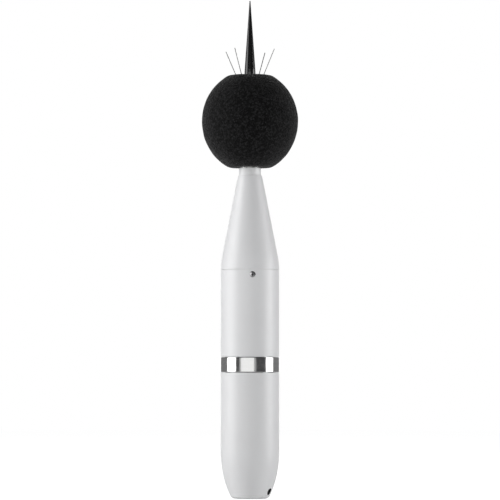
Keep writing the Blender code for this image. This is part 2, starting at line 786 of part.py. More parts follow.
def make_microphone():
    """Half-inch measuring microphone: cartridge, diaphragm and protection grid."""
    bottom = PREAMP_TOP + GAP
    top, groove, groove_r = bottom + MIC_LENGTH, bottom + MIC_GROOVE, MIC_R - 0.3
    cartridge_profile = [
        (0, top),
        (groove_r, top),
        (MIC_R, top - 0.3),
        (MIC_R, groove + 0.5),
        (groove_r, groove + 0.2),
        (groove_r, groove - 0.2),
        (MIC_R, groove - 0.5),
        (MIC_R, bottom),
        (0, bottom),
    ]
    grid_bottom, grid_top, corner = top + GAP, top + GRID_HEIGHT, 0.7
    grid_profile = [
        (GRID_HOLE_R, grid_top),
        (GRID_R - corner, grid_top),
        (GRID_R, grid_top - corner),
        (GRID_R, grid_bottom),
        (GRID_BORE_R, grid_bottom),
        (GRID_BORE_R, grid_top - GRID_WALL),
        (GRID_HOLE_R, grid_top - GRID_WALL),
    ]
    cartridge = turned("mic_cartridge", cartridge_profile, SMALL_STEPS)
    diaphragm = disc("mic_diaphragm", DIAPHRAGM_R, top + GAP, top + 0.7, SMALL_STEPS)
    grid = turned("mic_grid", grid_profile, SMALL_STEPS)
    for azimuth in range(9, 360, 60):
        place = upright_around(GRID_HOLE_CIRCLE_R, azimuth)
        cut(grid, disc("grid_hole", GRID_HOLE_R, grid_top - 2, grid_top + 2, 8, place))
    return cartridge, diaphragm, grid


def make_chassis():
    """Plate and rods that stand on the flange and stiffen the board's bay."""
    inner, outer, plate_top = CHASSIS_PLATE_HOLE_R, CHASSIS_PLATE_R, CHASSIS_TOP + CHASSIS_PLATE
    plate = ring("chassis_plate", inner, outer, CHASSIS_TOP, plate_top, PART_STEPS)
    rods = []
    for i, azimuth in enumerate(CHASSIS_ROD_AZIMUTHS, 1):
        place = upright_around(CHASSIS_ROD_CIRCLE_R, azimuth)
        bottom, top = FLANGE_TOP + GAP, CHASSIS_TOP - GAP
        rods.append(disc(f"chassis_rod_{i}", CHASSIS_ROD_R, bottom, top, TINY_STEPS, place))
    return [plate, *rods]


def make_electronics():
    """The board, what stands on its front face, and the two feet behind it."""
    thick, height = BOARD_SIZE[1], BOARD_SIZE[2]
    middle = BOARD_BOTTOM + height / 2
    front, back = BOARD_Y - thick / 2 - GAP, BOARD_Y + thick / 2 + GAP
    board = block("main_board", BOARD_SIZE, (0, BOARD_Y, middle))

    def on_board(name, size, x, height, bevel=0.0):
        return block(name, size, (x, front - size[1] / 2, height), bevel)

    shield = on_board("shield_can", (17.0, 5.0, 17.0), -8.5, middle + 12, 0.5)
    converter = on_board("power_converter", (13.0, 8.0, 13.0), -10.5, middle - 13, 0.5)
    header_size = (9.0, 5.0, 7.0)
    header_height = LEAD_BOTTOM - GAP - header_size[2] / 2
    header = on_board("lead_header", header_size, LEAD_AT[0], header_height)
    can_bottom, can_r, corner = middle - 17, CAPACITOR_R, 0.5
    can_top = can_bottom + CAPACITOR_LENGTH
    profile = [
        (0, can_top),
        (can_r - corner, can_top),
        (can_r, can_top - corner),
        (can_r, can_bottom),
        (0, can_bottom),
    ]
    capacitors = []
    for i, x in enumerate(CAPACITOR_X, 1):
        place = upright_at(x, front - can_r - GAP)
        capacitors.append(turned(f"capacitor_{i}", profile, SMALL_STEPS, place))
    foot_size = (5.0, 4.0, 10.0)
    feet = []
    for i, x in enumerate((-16.0, 16.0), 1):
        spot = (x, back + foot_size[1] / 2, FLANGE_TOP + GAP + foot_size[2] / 2)
        feet.append(block(f"board_foot_{i}", foot_size, spot, 0.4))
    return board, shield, converter, header, capacitors, feet


def make_preamp_lead():
    """The short lead from the preamplifier's plug down to the board, eased over by a cosine."""
    top, count = PLUG_BOTTOM - GAP, 10
    points = []
    for i in range(count + 1):
        share = i / count
        ease = (1 - math.cos(math.pi * share)) / 2
        points.append((LEAD_AT[0] * ease, LEAD_AT[1] * ease, top + (LEAD_BOTTOM - top) * share))
    return wire("preamp_lead", points, LEAD_R)


# ---------------------------------------------------------------- rain cover
def make_rain_cover():
    """Slotted cap over the microphone, with the calibration actuator inside it."""
    outer, inner, shoulder = RAIN_COVER_R, RAIN_COVER_BORE_R, RAIN_COVER_SHOULDER
    bottom = STEM_TOP + GAP
    profile = [
        (0, RAIN_COVER_TOP),
        (outer - 3.2, RAIN_COVER_TOP - 0.6),
        (outer - 0.8, RAIN_COVER_TOP - 2),
        (outer, shoulder),
        (outer, bottom),
        (inner, bottom),
        (inner, shoulder),
        (inner - 2.4, RAIN_COVER_TOP - 2.6),
        (0, RAIN_COVER_TOP - 2.2),
    ]
    cover = turned("rain_cover", profile)
    for azimuth in range(0, 180, 30):
        frame = radial_frame(azimuth, shoulder - 6)
        cut(cover, block("cover_slot", (*COVER_SLOT, 3 * outer), (0, 0, 0), matrix=frame))
    plate_r, plate_top = inner - 0.4, ACTUATOR_BOTTOM + ACTUATOR_PLATE
    actuator = ring("actuator_plate", 1.0, plate_r, ACTUATOR_BOTTOM, plate_top, SMALL_STEPS)
    for y in (-4.2, -2.6, 2.6, 4.2):
        cut(actuator, block("actuator_slot", (7.0, 0.9, 4.0), (0, y, plate_top)))
    return cover, actuator


# ---------------------------------------------------------------- windscreen and spikes
def foam_profile(count):
    """Half outline of the ball, an ellipsoid cut flat at both ends with rounded edges."""
    half_height = (FOAM_TOP - FOAM_BOTTOM) / 2
    middle = (FOAM_TOP + FOAM_BOTTOM) / 2
    last = math.degrees(math.asin((half_height - FOAM_EDGE_R * 0.45) / FOAM_HALF_LENGTH))
    side = []
    for i in range(count + 1):
        angle = math.radians(last - 2 * last * i / count)
        side.append((FOAM_R * math.cos(angle), middle + FOAM_HALF_LENGTH * math.sin(angle)))
    flat_r = side[0][0] - FOAM_EDGE_R
    return [(0, FOAM_TOP), (flat_r, FOAM_TOP), *side, (flat_r, FOAM_BOTTOM), (0, FOAM_BOTTOM)]


def wire_point(azimuth, height):
    """A point on a bird wire's centreline."""
    radius = WIRE_TIP[0] - (WIRE_TIP[1] - height) * WIRE_SLOPE
    return outward(azimuth) * radius + Vector((0, 0, height))


def wire_channel(azimuth, bottom, top):
    """The space that a bird wire passes through, between two heights."""
    ends = [wire_point(azimuth, bottom), wire_point(azimuth, top)]
    return wire("wire_channel", ends, WIRE_R + WIRE_CLEARANCE)


def make_foam_ball():
    ball = turned("foam_ball", foam_profile(12), CASE_STEPS)
    cut(
        ball,
        disc("mic_bore", FOAM_BORE_R, FOAM_BOTTOM - 5, FOAM_BORE_TOP, PART_STEPS),
        disc("hub_space", HUB_R + GAP, HUB_BOTTOM - GAP, HUB_TOP + GAP, PART_STEPS),
        disc("spike_bore", SPIKE_R + GAP, HUB_TOP - 1, FOAM_TOP + 5, SMALL_STEPS),
    )
    return cut(ball, *[wire_channel(a, HUB_TOP - 1, FOAM_TOP + 5) for a in WIRE_AZIMUTHS])


def make_windscreen_sleeve():
    """The stiff tube glued into the foam's bore, which slips over the stem."""
    inner, outer, bottom = STEM_R + GAP, FOAM_BORE_R - GAP, FOAM_BOTTOM + GAP
    return ring("windscreen_sleeve", inner, outer, bottom, bottom + SLEEVE_HEIGHT, PART_STEPS)


def make_spike_hub():
    """The plastic hub inside the foam that the spike and the wires stand in."""
    edge, hole_r, hole_bottom = 0.5, SPIKE_SHANK_R + GAP, HUB_BOTTOM + 1.2
    profile = [
        (hole_r, HUB_TOP),
        (HUB_R - edge, HUB_TOP),
        (HUB_R, HUB_TOP - edge),
        (HUB_R, HUB_BOTTOM + edge),
        (HUB_R - edge, HUB_BOTTOM),
        (0, HUB_BOTTOM),
        (0, hole_bottom),
        (hole_r, hole_bottom),
    ]
    hub = turned("spike_hub", profile)
    return cut(hub, *[wire_channel(a, HUB_BOTTOM + 2.6, HUB_TOP + 4) for a in WIRE_AZIMUTHS])


def make_bird_spike():
    """The tall spike: a shank in the hub, a short straight foot in the foam and a long cone."""
    bottom, foot = HUB_BOTTOM + 1.5, HUB_TOP + GAP
    profile = [
        (0, TOTAL_HEIGHT),
        (SPIKE_TIP_R * 0.7, TOTAL_HEIGHT - SPIKE_TIP_R * 0.6),
        (SPIKE_TIP_R, TOTAL_HEIGHT - SPIKE_TIP_R * 2),
        (SPIKE_R - 0.15, SPIKE_CONE_START + 1.2),
        (SPIKE_R, SPIKE_CONE_START - 1),
        (SPIKE_R, foot),
        (SPIKE_SHANK_R, foot),
        (SPIKE_SHANK_R, bottom),
        (0, bottom),
    ]
    return turned("bird_spike", profile, SMALL_STEPS)


def make_bird_wires():
    wires = []
    for i, azimuth in enumerate(WIRE_AZIMUTHS, 1):
        ends = [wire_point(azimuth, HUB_BOTTOM + 3.3), wire_point(azimuth, WIRE_TIP[1])]
        wires.append(wire(f"bird_wire_{i}", ends, WIRE_R))
    return wires


# ---------------------------------------------------------------- bodies and finishes
def make_body(name, parent=None, frame=None):
    """An empty on the joint's axis that moves its pieces together: at the origin for the vertical
    joints, or in that frame."""
    empty = bpy.data.objects.new(name, None)
    empty.empty_display_size = 0.02
    PARTS.objects.link(empty)
    empty.parent = parent
    empty.matrix_world = frame or Matrix()
    bpy.context.view_layer.update()
    return empty


def place(body, finish, *pieces):
    """Gives the pieces their material and parents them to the body, where they stand."""
    for piece in pieces:
        piece.data.materials.append(MATERIALS[finish])
        piece.parent = body
        piece.matrix_parent_inverse = body.matrix_world.inverted()


def build_mast_housing(body):
    lock_hole, fixing_holes = make_lock_hole(), make_fixing_holes()
    place(body, "shell_white", make_lower_housing(lock_hole, fixing_holes))
    place(body, "alloy", make_housing_spigot(), make_mast_socket(lock_hole, fixing_holes))
    place(body, "stem_steel", *make_socket_screws())


def build_coupling(body):
    shell, insert, nut = make_cable_socket()
    canister, cap, gel = make_desiccant()
    place(body, "alloy", make_coupling_flange())
    place(body, "rubber", make_coupling_gasket())
    place(body, "stem_steel", shell, nut)
    place(body, "component", insert)
    place(body, "clear_plastic", canister)
    place(body, "black_plastic", cap)
    place(body, "silica_gel", gel)


def build_instrument(body):
    screw_holes = make_case_screw_holes()
    place(body, "shell_white", make_upper_tube(screw_holes), make_nose_cone(screw_holes))
    place(body, "rubber", seal_ring("nose_seal", SEAL_MAJOR_R, SEAL_MINOR_R, SEAL_HEIGHT))
    place(body, "stem_steel", *make_case_screws())
    collar, stem, *insulators = make_neck()
    place(body, "shell_white", collar)
    place(body, "stem_steel", stem)
    place(body, "ptfe", *insulators)
    preamp, plug = make_preamplifier()
    place(body, "stem_steel", preamp, *make_microphone())
    place(body, "component", plug)
    place(body, "alloy", *make_chassis())
    board, shield, converter, header, capacitors, feet = make_electronics()
    place(body, "board", board)
    place(body, "alloy", shield, *feet)
    place(body, "component", converter, header)
    place(body, "capacitor", *capacitors)
    place(body, "cable_jacket", make_preamp_lead())


def build_windscreen(body):
    place(body, "foam", make_foam_ball())
    place(body, "black_plastic", make_windscreen_sleeve(), make_spike_hub(), make_bird_spike())
    place(body, "wire_steel", *make_bird_wires())


def build():
    housing_body = make_body("mast_housing_body")
    lock_frame = radial_frame(LOCK_AZIMUTH, LOCK_HEIGHT)
    pad_body = make_body("clamp_pad_body", housing_body, lock_frame)
    screw_body = make_body("lock_screw_body", pad_body, lock_frame)
    instrument_body = make_body("instrument_body", housing_body)
    ring_body = make_body("union_ring_body", instrument_body)
    cover_body = make_body("rain_cover_body", instrument_body)
    windscreen_body = make_body("windscreen_body", cover_body)

    build_mast_housing(housing_body)
    place(pad_body, "brass", make_clamp_pad())
    place(screw_body, "black_steel", make_lock_screw())
    place(ring_body, "ring_steel", make_union_ring())
    build_coupling(instrument_body)
    build_instrument(instrument_body)
    place(cover_body, "stem_steel", *make_rain_cover())
    build_windscreen(windscreen_body)


clear_scene()
PARTS = new_collection("outdoor_microphone_unit")
CUTTERS = new_collection("cutters")
MATERIALS = make_materials()
build()
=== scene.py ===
"""The looks of the outdoor sound measuring unit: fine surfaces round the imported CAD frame.

Outlines are in millimetres, as (radius, height) or (radius, height, corner radius). Azimuths run
from the front (-Y) towards +X, in degrees. Main heights and radii are read from the CAD nodes.
"""

import math

import bmesh
import bpy
from mathutils import Matrix, Vector, noise


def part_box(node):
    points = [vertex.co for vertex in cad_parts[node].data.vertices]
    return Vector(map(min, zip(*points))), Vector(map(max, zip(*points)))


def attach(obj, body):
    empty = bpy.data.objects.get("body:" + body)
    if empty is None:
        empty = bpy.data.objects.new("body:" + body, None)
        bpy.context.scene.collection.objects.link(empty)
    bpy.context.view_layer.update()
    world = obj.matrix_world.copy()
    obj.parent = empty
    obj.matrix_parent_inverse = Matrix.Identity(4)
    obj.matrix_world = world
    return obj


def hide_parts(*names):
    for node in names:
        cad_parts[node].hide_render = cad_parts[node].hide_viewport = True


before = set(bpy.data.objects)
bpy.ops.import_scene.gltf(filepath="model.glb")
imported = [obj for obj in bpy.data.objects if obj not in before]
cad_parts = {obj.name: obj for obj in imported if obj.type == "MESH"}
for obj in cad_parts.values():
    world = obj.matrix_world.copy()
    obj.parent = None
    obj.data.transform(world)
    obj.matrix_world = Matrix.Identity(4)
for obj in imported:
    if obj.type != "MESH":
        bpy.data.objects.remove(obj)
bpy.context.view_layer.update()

MM = 0.001
GAP = 0.3  # between pieces that touch on the real object
FINE_GAP = 0.08  # at the seams that hardly show
CLEAR = 3.0  # how far a cutter stands out past the tube
ON_AXIS = 1e-6  # a radius so small that the point is on the axis
FINE_STEPS = 192
MEDIUM_STEPS = 96
SMALL_STEPS = 48
SHARP_ANGLE = math.radians(38)


# ---------------------------------------------------------------- measures from the frame
def low(node):
    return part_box(node)[0] / MM


def high(node):
    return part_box(node)[1] / MM


def middle(node):
    return (low(node) + high(node)) / 2


def radius(node):
    """Half the width of an upright round node, on the main axis or beside it."""
    return (high(node).x - low(node).x) / 2


TUBE_R = radius("upper_tube")
RING_R = radius("union_ring")
RING_BOTTOM = low("union_ring").z
RING_TOP = high("union_ring").z
HOUSING_TOP = high("lower_housing").z
SEAM = high("upper_tube").z
NOSE_TOP = high("nose_cone").z
COLLAR_R = radius("neck_collar")
COLLAR_TOP = high("neck_collar").z
STEM_TOP = high("mic_stem").z
FOAM_BOTTOM = low("foam_ball").z
FOAM_TOP = high("foam_ball").z
FOAM_R = radius("foam_ball")
SPIKE_TOP = high("bird_spike").z
LOCK_HEIGHT = middle("lock_screw").z
LOCK_AZIMUTH = math.degrees(math.atan2(middle("lock_screw").x, -middle("lock_screw").y))
LOCK_TIP = 13.0  # distance from the axis
LOCK_HOLE_R = 3.0
SCREW_HEIGHT = middle("case_screw_1").z
THIRDS = (0, 120, 240)  # azimuths of what comes in threes

HOUSING_BORE_R = 24.87
TAPER_START = 42.0
TAPER_ARC_R = 93.0
BASE_FILLET = 4.6
FLOOR_TOP = 12.0
SLEEVE_R = 12.1
MAST_BORE_R = 10.0
SPIGOT_R = 23.4
SPIGOT_BORE_R = 21.6
RING_BORE_R = 25.4
RING_LIP_BORE_R = 23.3
LUG_HEIGHT = 2.6
LUG_HALF_GAP = 41.0  # degrees
LUG_ROOT = 0.3  # how far a lug reaches into the ring that carries it
TUBE_BORE_R = 25.1
NOSE_SLOPE = 0.197  # radius lost for each millimetre of height
NOSE_FOOT = 220.0  # where the cone would meet the tube with no blend
NOSE_BLEND_R = 66.0
STEM_R = 9.0
STEM_BORE_R = 7.6
MIC_R = 6.35
FOAM_HALF_LENGTH = 48.2
WIRE_R = 0.4


# ---------------------------------------------------------------- shape helpers
def outward(azimuth):
    angle = math.radians(azimuth)
    return Vector((math.sin(angle), -math.cos(angle), 0.0))


def turned(azimuth):
    return Matrix.Rotation(math.radians(azimuth), 4, "Z")


def radial_frame(azimuth, height):
    """Turns local +Z to point outward at the azimuth, with local +Y up, at that height."""
    upright = Matrix.Rotation(math.radians(90), 4, "X")
    return Matrix.Translation((0, 0, height * MM)) @ turned(azimuth) @ upright


def beside(spot):
    """Moves sideways from the main axis to that spot, and keeps the height."""
    return Matrix.Translation((spot.x * MM, spot.y * MM, 0))


def around(distance, azimuth):
    return beside(outward(azimuth) * distance)


LOCK_PLACE = radial_frame(LOCK_AZIMUTH, LOCK_HEIGHT)


def arc(centre_r, centre_z, size, start, end, count):
    """Points (r, z) round an arc. Angles are in degrees above the outward horizontal."""
    points = []
    for i in range(count + 1):
        angle = math.radians(start + (end - start) * i / count)
        points.append((centre_r + size * math.cos(angle), centre_z + size * math.sin(angle)))
    return points


def rounded(outline, count=4):
    """Points (r, z) of the outline, with an arc at each corner that has a third number."""
    longest = 0.48  # share of a side that one corner's arc may take up
    done = []
    for i, (r, z, *fillet) in enumerate(outline):
        if not fillet:
            done.append((r, z))
            continue
        corner = Vector((r, z))
        before = Vector(outline[i - 1][:2]) - corner
        after = Vector(outline[(i + 1) % len(outline)][:2]) - corner
        half = before.angle(after) / 2
        reach = min(fillet[0] / math.tan(half), longest * before.length, longest * after.length)
        inward = (before.normalized() + after.normalized()).normalized()
        centre = corner + inward * (reach / math.cos(half))
        start = corner + before.normalized() * reach - centre
        end = corner + after.normalized() * reach - centre
        turn = math.atan2(start.x * end.y - start.y * end.x, start.dot(end))
        for step in range(count + 1):
            angle = turn * step / count
            across = Vector((-start.y, start.x))
            spot = centre + start * math.cos(angle) + across * math.sin(angle)
            done.append((spot.x, spot.y))
    return done


def smooth(obj):
    """Shades round faces smooth, keeps corners sharp, and lets the large faces set the normals."""
    obj.data.shade_smooth()
    obj.data.set_sharp_from_angle(angle=SHARP_ANGLE)
    weighted = obj.modifiers.new("weighted", "WEIGHTED_NORMAL")
    weighted.keep_sharp = True
    return obj


def new_object(name, work, matrix=None):
    """An object with the mesh in work, its faces turned outward."""
    bmesh.ops.recalc_face_normals(work, faces=work.faces)
    mesh = bpy.data.meshes.new(name)
    work.to_mesh(mesh)
    work.free()
    obj = bpy.data.objects.new(name, mesh)
    bpy.context.scene.collection.objects.link(obj)
    if matrix is not None:
        obj.matrix_world = matrix
    return smooth(obj)


def lathe(name, points, steps, matrix=None, first=0.0, sweep=360.0):
    """A closed solid turned about its own Z, from points (r, z). Under a full turn it gets ends."""
    full = sweep >= 360
    count = steps if full else steps + 1
    work = bmesh.new()
    rings = []
    for r, z in points:
        if r < ON_AXIS:
            rings.append([work.verts.new((0, 0, z * MM))] * count)
            continue
        spots = [outward(first + sweep * i / steps) * r for i in range(count)]
        rings.append([work.verts.new((s.x * MM, s.y * MM, z * MM)) for s in spots])
    closed_by_axis = points[0][0] < ON_AXIS and points[-1][0] < ON_AXIS
    for j in range(len(points) - closed_by_axis):
        a, b = rings[j], rings[(j + 1) % len(points)]
        for i in range(steps):
            k = (i + 1) % count
            corners = list(dict.fromkeys((a[i], b[i], b[k], a[k])))
            if len(corners) > 2:
                work.faces.new(corners)
    if not full:
        work.faces.new([ring[0] for ring in rings])
        work.faces.new([ring[-1] for ring in reversed(rings)])
    return new_object(name, work, matrix)


def rod(name, size, top, bottom, steps, matrix=None):
    """A plain round rod about its own Z, of that radius."""
    return lathe(name, [(0, top), (size, top), (size, bottom), (0, bottom)], steps, matrix)


def hoop(name, node, inner, outer, fillet):
    """A plain ring between the ends of an upright node, all its corners rounded."""
    bottom, top = low(node).z, high(node).z
    corners = [(inner, top), (outer, top), (outer, bottom), (inner, bottom)]
    return lathe(name, rounded([(r, z, fillet) for r, z in corners]), MEDIUM_STEPS)


def block(name, size, at, bevel=0.0, matrix=None):
    """A box with its middle at that spot, and its edges rounded by the bevel."""
    work = bmesh.new()
    bmesh.ops.create_cube(work, size=1.0)
    place = Matrix.Translation(Vector(at) * MM) @ Matrix.Diagonal((*(Vector(size) * MM), 1.0))
    bmesh.ops.transform(work, matrix=place, verts=work.verts)
    if bevel:
        bmesh.ops.bevel(
            work, geom=list(work.edges), offset=bevel * MM, segments=3, affect="EDGES"
        )
    return new_object(name, work, matrix)


def carve(obj, *cutters):
    """Cuts the cutters out of obj and removes them."""
    obj.modifiers.clear()
    for cutter in cutters:
        cutter.modifiers.clear()
        change = obj.modifiers.new("carve", "BOOLEAN")
        change.operation = "DIFFERENCE"
        change.solver = "EXACT"
        change.object = cutter
    bpy.context.view_layer.update()
    evaluated = obj.evaluated_get(bpy.context.evaluated_depsgraph_get())
    mesh = bpy.data.meshes.new_from_object(evaluated)
    obj.modifiers.clear()
    obj.data = mesh
    for cutter in cutters:
        bpy.data.objects.remove(cutter)
    return smooth(obj)


def merged(name, objects):
    """One piece from several closed shells of the same finish."""
    work = bmesh.new()
    for obj in objects:
        mesh = obj.data
        mesh.transform(obj.matrix_world)
        work.from_mesh(mesh)
        bpy.data.objects.remove(obj)
    return new_object(name, work)


def dress(obj, body, finish, slot, *nodes):
    """Gives a new piece its body, its finish and the CAD nodes that it stands for."""
    obj.data.materials.clear()
    obj.data.materials.append(FINISHES[finish])
    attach(obj, body)
    if nodes:
        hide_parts(*nodes)
    return obj


# ---------------------------------------------------------------- materials
class Finish:
    """A Principled material whose nodes read the place on the object, in metres."""

    def __init__(self, name, color, rough, metallic=0.0, **sockets):
        self.material = bpy.data.materials.new(name)
        self.material.use_nodes = True
        self.nodes = self.material.node_tree.nodes
        self.links = self.material.node_tree.links
        self.shader = self.nodes["Principled BSDF"]
        self.place = self.nodes.new("ShaderNodeTexCoord").outputs["Object"]
        self.color = color
        values = {"Base Color": (*color, 1.0), "Roughness": rough, "Metallic": metallic, **sockets}
        for socket, value in values.items():
            self.shader.inputs[socket.replace("_", " ")].default_value = value

    def noise(self, scale, detail=3.0, stretch=(1, 1, 1)):
        """Noise from 0 to 1, with that many features a metre along each axis."""
        mapping = self.nodes.new("ShaderNodeMapping")
        mapping.inputs["Scale"].default_value = stretch
        self.links.new(self.place, mapping.inputs["Vector"])
        made = self.nodes.new("ShaderNodeTexNoise")
        made.inputs["Scale"].default_value = scale
        made.inputs["Detail"].default_value = detail
        self.links.new(mapping.outputs["Vector"], made.inputs["Vector"])
        return made.outputs["Fac"]

    def cells(self, scale):
        """Distance to the nearest of that many points a metre."""
        made = self.nodes.new("ShaderNodeTexVoronoi")
        made.inputs["Scale"].default_value = scale
        self.links.new(self.place, made.inputs["Vector"])
        return made.outputs["Distance"]

    def mean(self, one, other):
        """The mean of two sources."""
        made = self.nodes.new("ShaderNodeMix")
        made.inputs["Factor"].default_value = 0.5
        self.links.new(one, made.inputs["A"])
        self.links.new(other, made.inputs["B"])
        return made.outputs["Result"]

    def rough(self, source, least, most):
        """Roughness that runs between two values as the source rises."""
        made = self.nodes.new("ShaderNodeMapRange")
        ends = {"From Min": 0.3, "From Max": 0.7, "To Min": least, "To Max": most}
        for socket, value in ends.items():
            made.inputs[socket].default_value = value
        self.links.new(source, made.inputs["Value"])
        self.links.new(made.outputs["Result"], self.shader.inputs["Roughness"])
        return self

    def tint(self, source, dark, light, start=0.3, end=0.7):
        """Colour that runs from dark to light times the base colour as the source rises."""
        ramp = self.nodes.new("ShaderNodeValToRGB")
        for stop, at, share in zip(ramp.color_ramp.elements, (start, end), (dark, light)):
            stop.position = at
            stop.color = (*[min(1.0, c * share) for c in self.color], 1.0)
        self.links.new(source, ramp.inputs["Fac"])
        self.links.new(ramp.outputs["Color"], self.shader.inputs["Base Color"])
        return self

    def bump(self, source, depth, strength=1.0):
        """Raises the surface by up to that depth, in millimetres."""
        made = self.nodes.new("ShaderNodeBump")
        made.inputs["Strength"].default_value = strength
        made.inputs["Distance"].default_value = depth * MM
        self.links.new(source, made.inputs["Height"])
        normal = self.shader.inputs["Normal"]
        if normal.is_linked:
            self.links.new(normal.links[0].from_socket, made.inputs["Normal"])
        self.links.new(made.outputs["Normal"], normal)
        return self


def powder_coat():
    """Satin white powder coat: faint orange peel, and a little more matt in patches."""
    finish = Finish("white_coat", (0.82, 0.823, 0.83), 0.36, Specular_IOR_Level=0.5)
    finish.rough(finish.noise(60, 4), 0.33, 0.40)
    finish.tint(finish.noise(25, 3), 0.985, 1.01)
    finish.bump(finish.noise(900, 2), 0.010)
    finish.bump(finish.noise(3800, 1), 0.003)
    return finish.material


def polished_steel():
    """Steel polished on the lathe: hair lines that run round, and faint smears."""
    finish = Finish("polished_steel", (0.52, 0.52, 0.515), 0.10, 1.0)
    finish.rough(finish.noise(90, 5), 0.08, 0.15)
    finish.tint(finish.noise(1, 4, (60, 60, 5200)), 0.96, 1.03)
    finish.bump(finish.noise(1, 3, (50, 50, 7000)), 0.0008)
    return finish.material


def turned_metal(name, color, rough, depth=0.004):
    """Machined metal with fine lathe lines across its height."""
    finish = Finish(name, color, rough, 1.0)
    lines = finish.noise(1, 4, (120, 120, 4200))
    finish.rough(lines, rough * 0.75, rough * 1.3)
    finish.tint(finish.noise(70, 4), 0.93, 1.05)
    finish.bump(lines, depth)
    return finish.material


def moulded(name, color, rough, grain=1500, depth=0.004, metallic=0.0):
    """Moulded plastic or rubber with a fine grain and slightly uneven gloss."""
    finish = Finish(name, color, rough, metallic)
    finish.rough(finish.noise(140, 4), rough * 0.85, rough * 1.2)
    finish.tint(finish.noise(40, 3), 0.92, 1.08)
    finish.bump(finish.noise(grain, 2), depth)
    return finish.material


def open_cell_foam():
    """Black open-cell foam: colour painted paler on grains of about a millimetre and darker in the
    pores between, as painted light and shade over the relief.
    """
    softness = {"Specular_IOR_Level": 0.15, "Sheen_Weight": 0.17, "Sheen_Roughness": 0.35}
    finish = Finish("black_foam", (0.0065, 0.0065, 0.0067), 0.9, **softness)
    pores = finish.cells(850)
    # Painted shade: the colour darkens where the pore bump below sinks the surface, and is painted
    # paler on the grains between.
    finish.tint(finish.mean(pores, finish.cells(400)), 4.2, 0.3, 0.14, 0.60)
    finish.bump(finish.cells(2200), 0.12, 0.6)
    finish.bump(pores, -0.55, 0.8)
    return finish.material


def clear_plastic():
    """Clear moulding with faint flow marks."""
    finish = Finish("clear_plastic", (0.93, 0.95, 0.96), 0.06, Transmission_Weight=0.9, IOR=1.49)
    finish.rough(finish.noise(200, 3), 0.04, 0.10)
    finish.bump(finish.noise(120, 3), 0.01)
    return finish.material


def solder_mask():
    """Green solder mask over a maze of raised tracks."""
    finish = Finish("solder_mask", (0.02, 0.17, 0.07), 0.38)
    tracks = finish.cells(420)
    finish.tint(tracks, 0.65, 1.2, 0.2, 0.6)
    finish.rough(finish.noise(300, 2), 0.30, 0.45)
    finish.bump(tracks, 0.03)
    return finish.material


FINISHES = {
    "shell": powder_coat(),
    "ring": polished_steel(),
    "steel": turned_metal("turned_steel", (0.62, 0.62, 0.61), 0.24),
    "wire": turned_metal("drawn_wire", (0.30, 0.30, 0.30), 0.34, 0.001),
    "screw": turned_metal("screw_steel", (0.50, 0.50, 0.51), 0.14, 0.001),
    "alloy": turned_metal("anodised_alloy", (0.70, 0.71, 0.72), 0.33),
    "nickel": turned_metal("nickel_plate", (0.66, 0.64, 0.60), 0.20),
    "brass": turned_metal("turned_brass", (0.78, 0.60, 0.30), 0.28),
    "gold": turned_metal("gold_contacts", (0.95, 0.72, 0.32), 0.22, 0.001),
    "black_steel": moulded("black_oxide", (0.018, 0.018, 0.019), 0.38, 2200, 0.003, 0.7),
    "gloss_black": moulded("gloss_black", (0.004, 0.004, 0.0042), 0.13, 700, 0.0015),
    "matt_black": moulded("matt_black", (0.022, 0.022, 0.023), 0.5),
    "rubber": moulded("black_rubber", (0.020, 0.020, 0.020), 0.62, 1100, 0.010),
    "foam": open_cell_foam(),
    "ptfe": moulded("white_ptfe", (0.82, 0.82, 0.80), 0.42, 1800, 0.003),
    "board": solder_mask(),
    "component": moulded("component_case", (0.03, 0.03, 0.035), 0.48, 2600, 0.004),
    "capacitor": moulded("capacitor_sleeve", (0.05, 0.07, 0.22), 0.30, 900, 0.002),
    "clear": clear_plastic(),
    "gel": moulded("silica_beads", (0.86, 0.30, 0.03), 0.30, 1600, 0.006),
    "jacket": moulded("lead_jacket", (0.05, 0.05, 0.05), 0.50, 1300, 0.004),
}


def paint_hole_shade(obj, place, reach, deepest, highest):
    """Paints shade into a hole: a matt black finish on the faces within reach of the hole's own Z,
    between two depths, where the hole lies in shade.
    """
    obj.data.materials.append(FINISHES["matt_black"])
    into_hole = place.inverted() @ obj.matrix_world
    for face in obj.data.polygons:
        spot = into_hole @ face.center / MM
        if spot.xy.length < reach and deepest < spot.z < highest:
            face.material_index = 1


# ---------------------------------------------------------------- mast housing
def taper_points():
    """The housing's outer side from the end of its straight tube down to its flat base."""
    centre_r = TUBE_R - TAPER_ARC_R
    reach = TAPER_ARC_R - BASE_FILLET
    end = math.degrees(math.asin((TAPER_START - BASE_FILLET) / reach))
    fillet_r = centre_r + reach * math.cos(math.radians(end))
    side = arc(centre_r, TAPER_START, TAPER_ARC_R, 0, -end, 32)
    return side[:-1] + arc(fillet_r, BASE_FILLET, BASE_FILLET, -end, -90, 12)


def lock_hole(rim):
    """Cutter for the lock screw's hole, wider by the rim where it meets the outer side."""
    near, far = 8.0, TUBE_R + CLEAR
    points = [(0, far), (LOCK_HOLE_R + rim, far), (LOCK_HOLE_R, near), (0, near)]
    return lathe("lock_hole", points, SMALL_STEPS, LOCK_PLACE)


def fixing_holes():
    """Cutters for the screws that hold the mast socket to the floor."""
    circle_r, hole_r, top, bottom = 15.6, 1.6, 16.5, 5.0
    places = [around(circle_r, azimuth) for azimuth in THIRDS]
    return [rod("fixing_hole", hole_r, top, bottom, 24, place) for place in places]


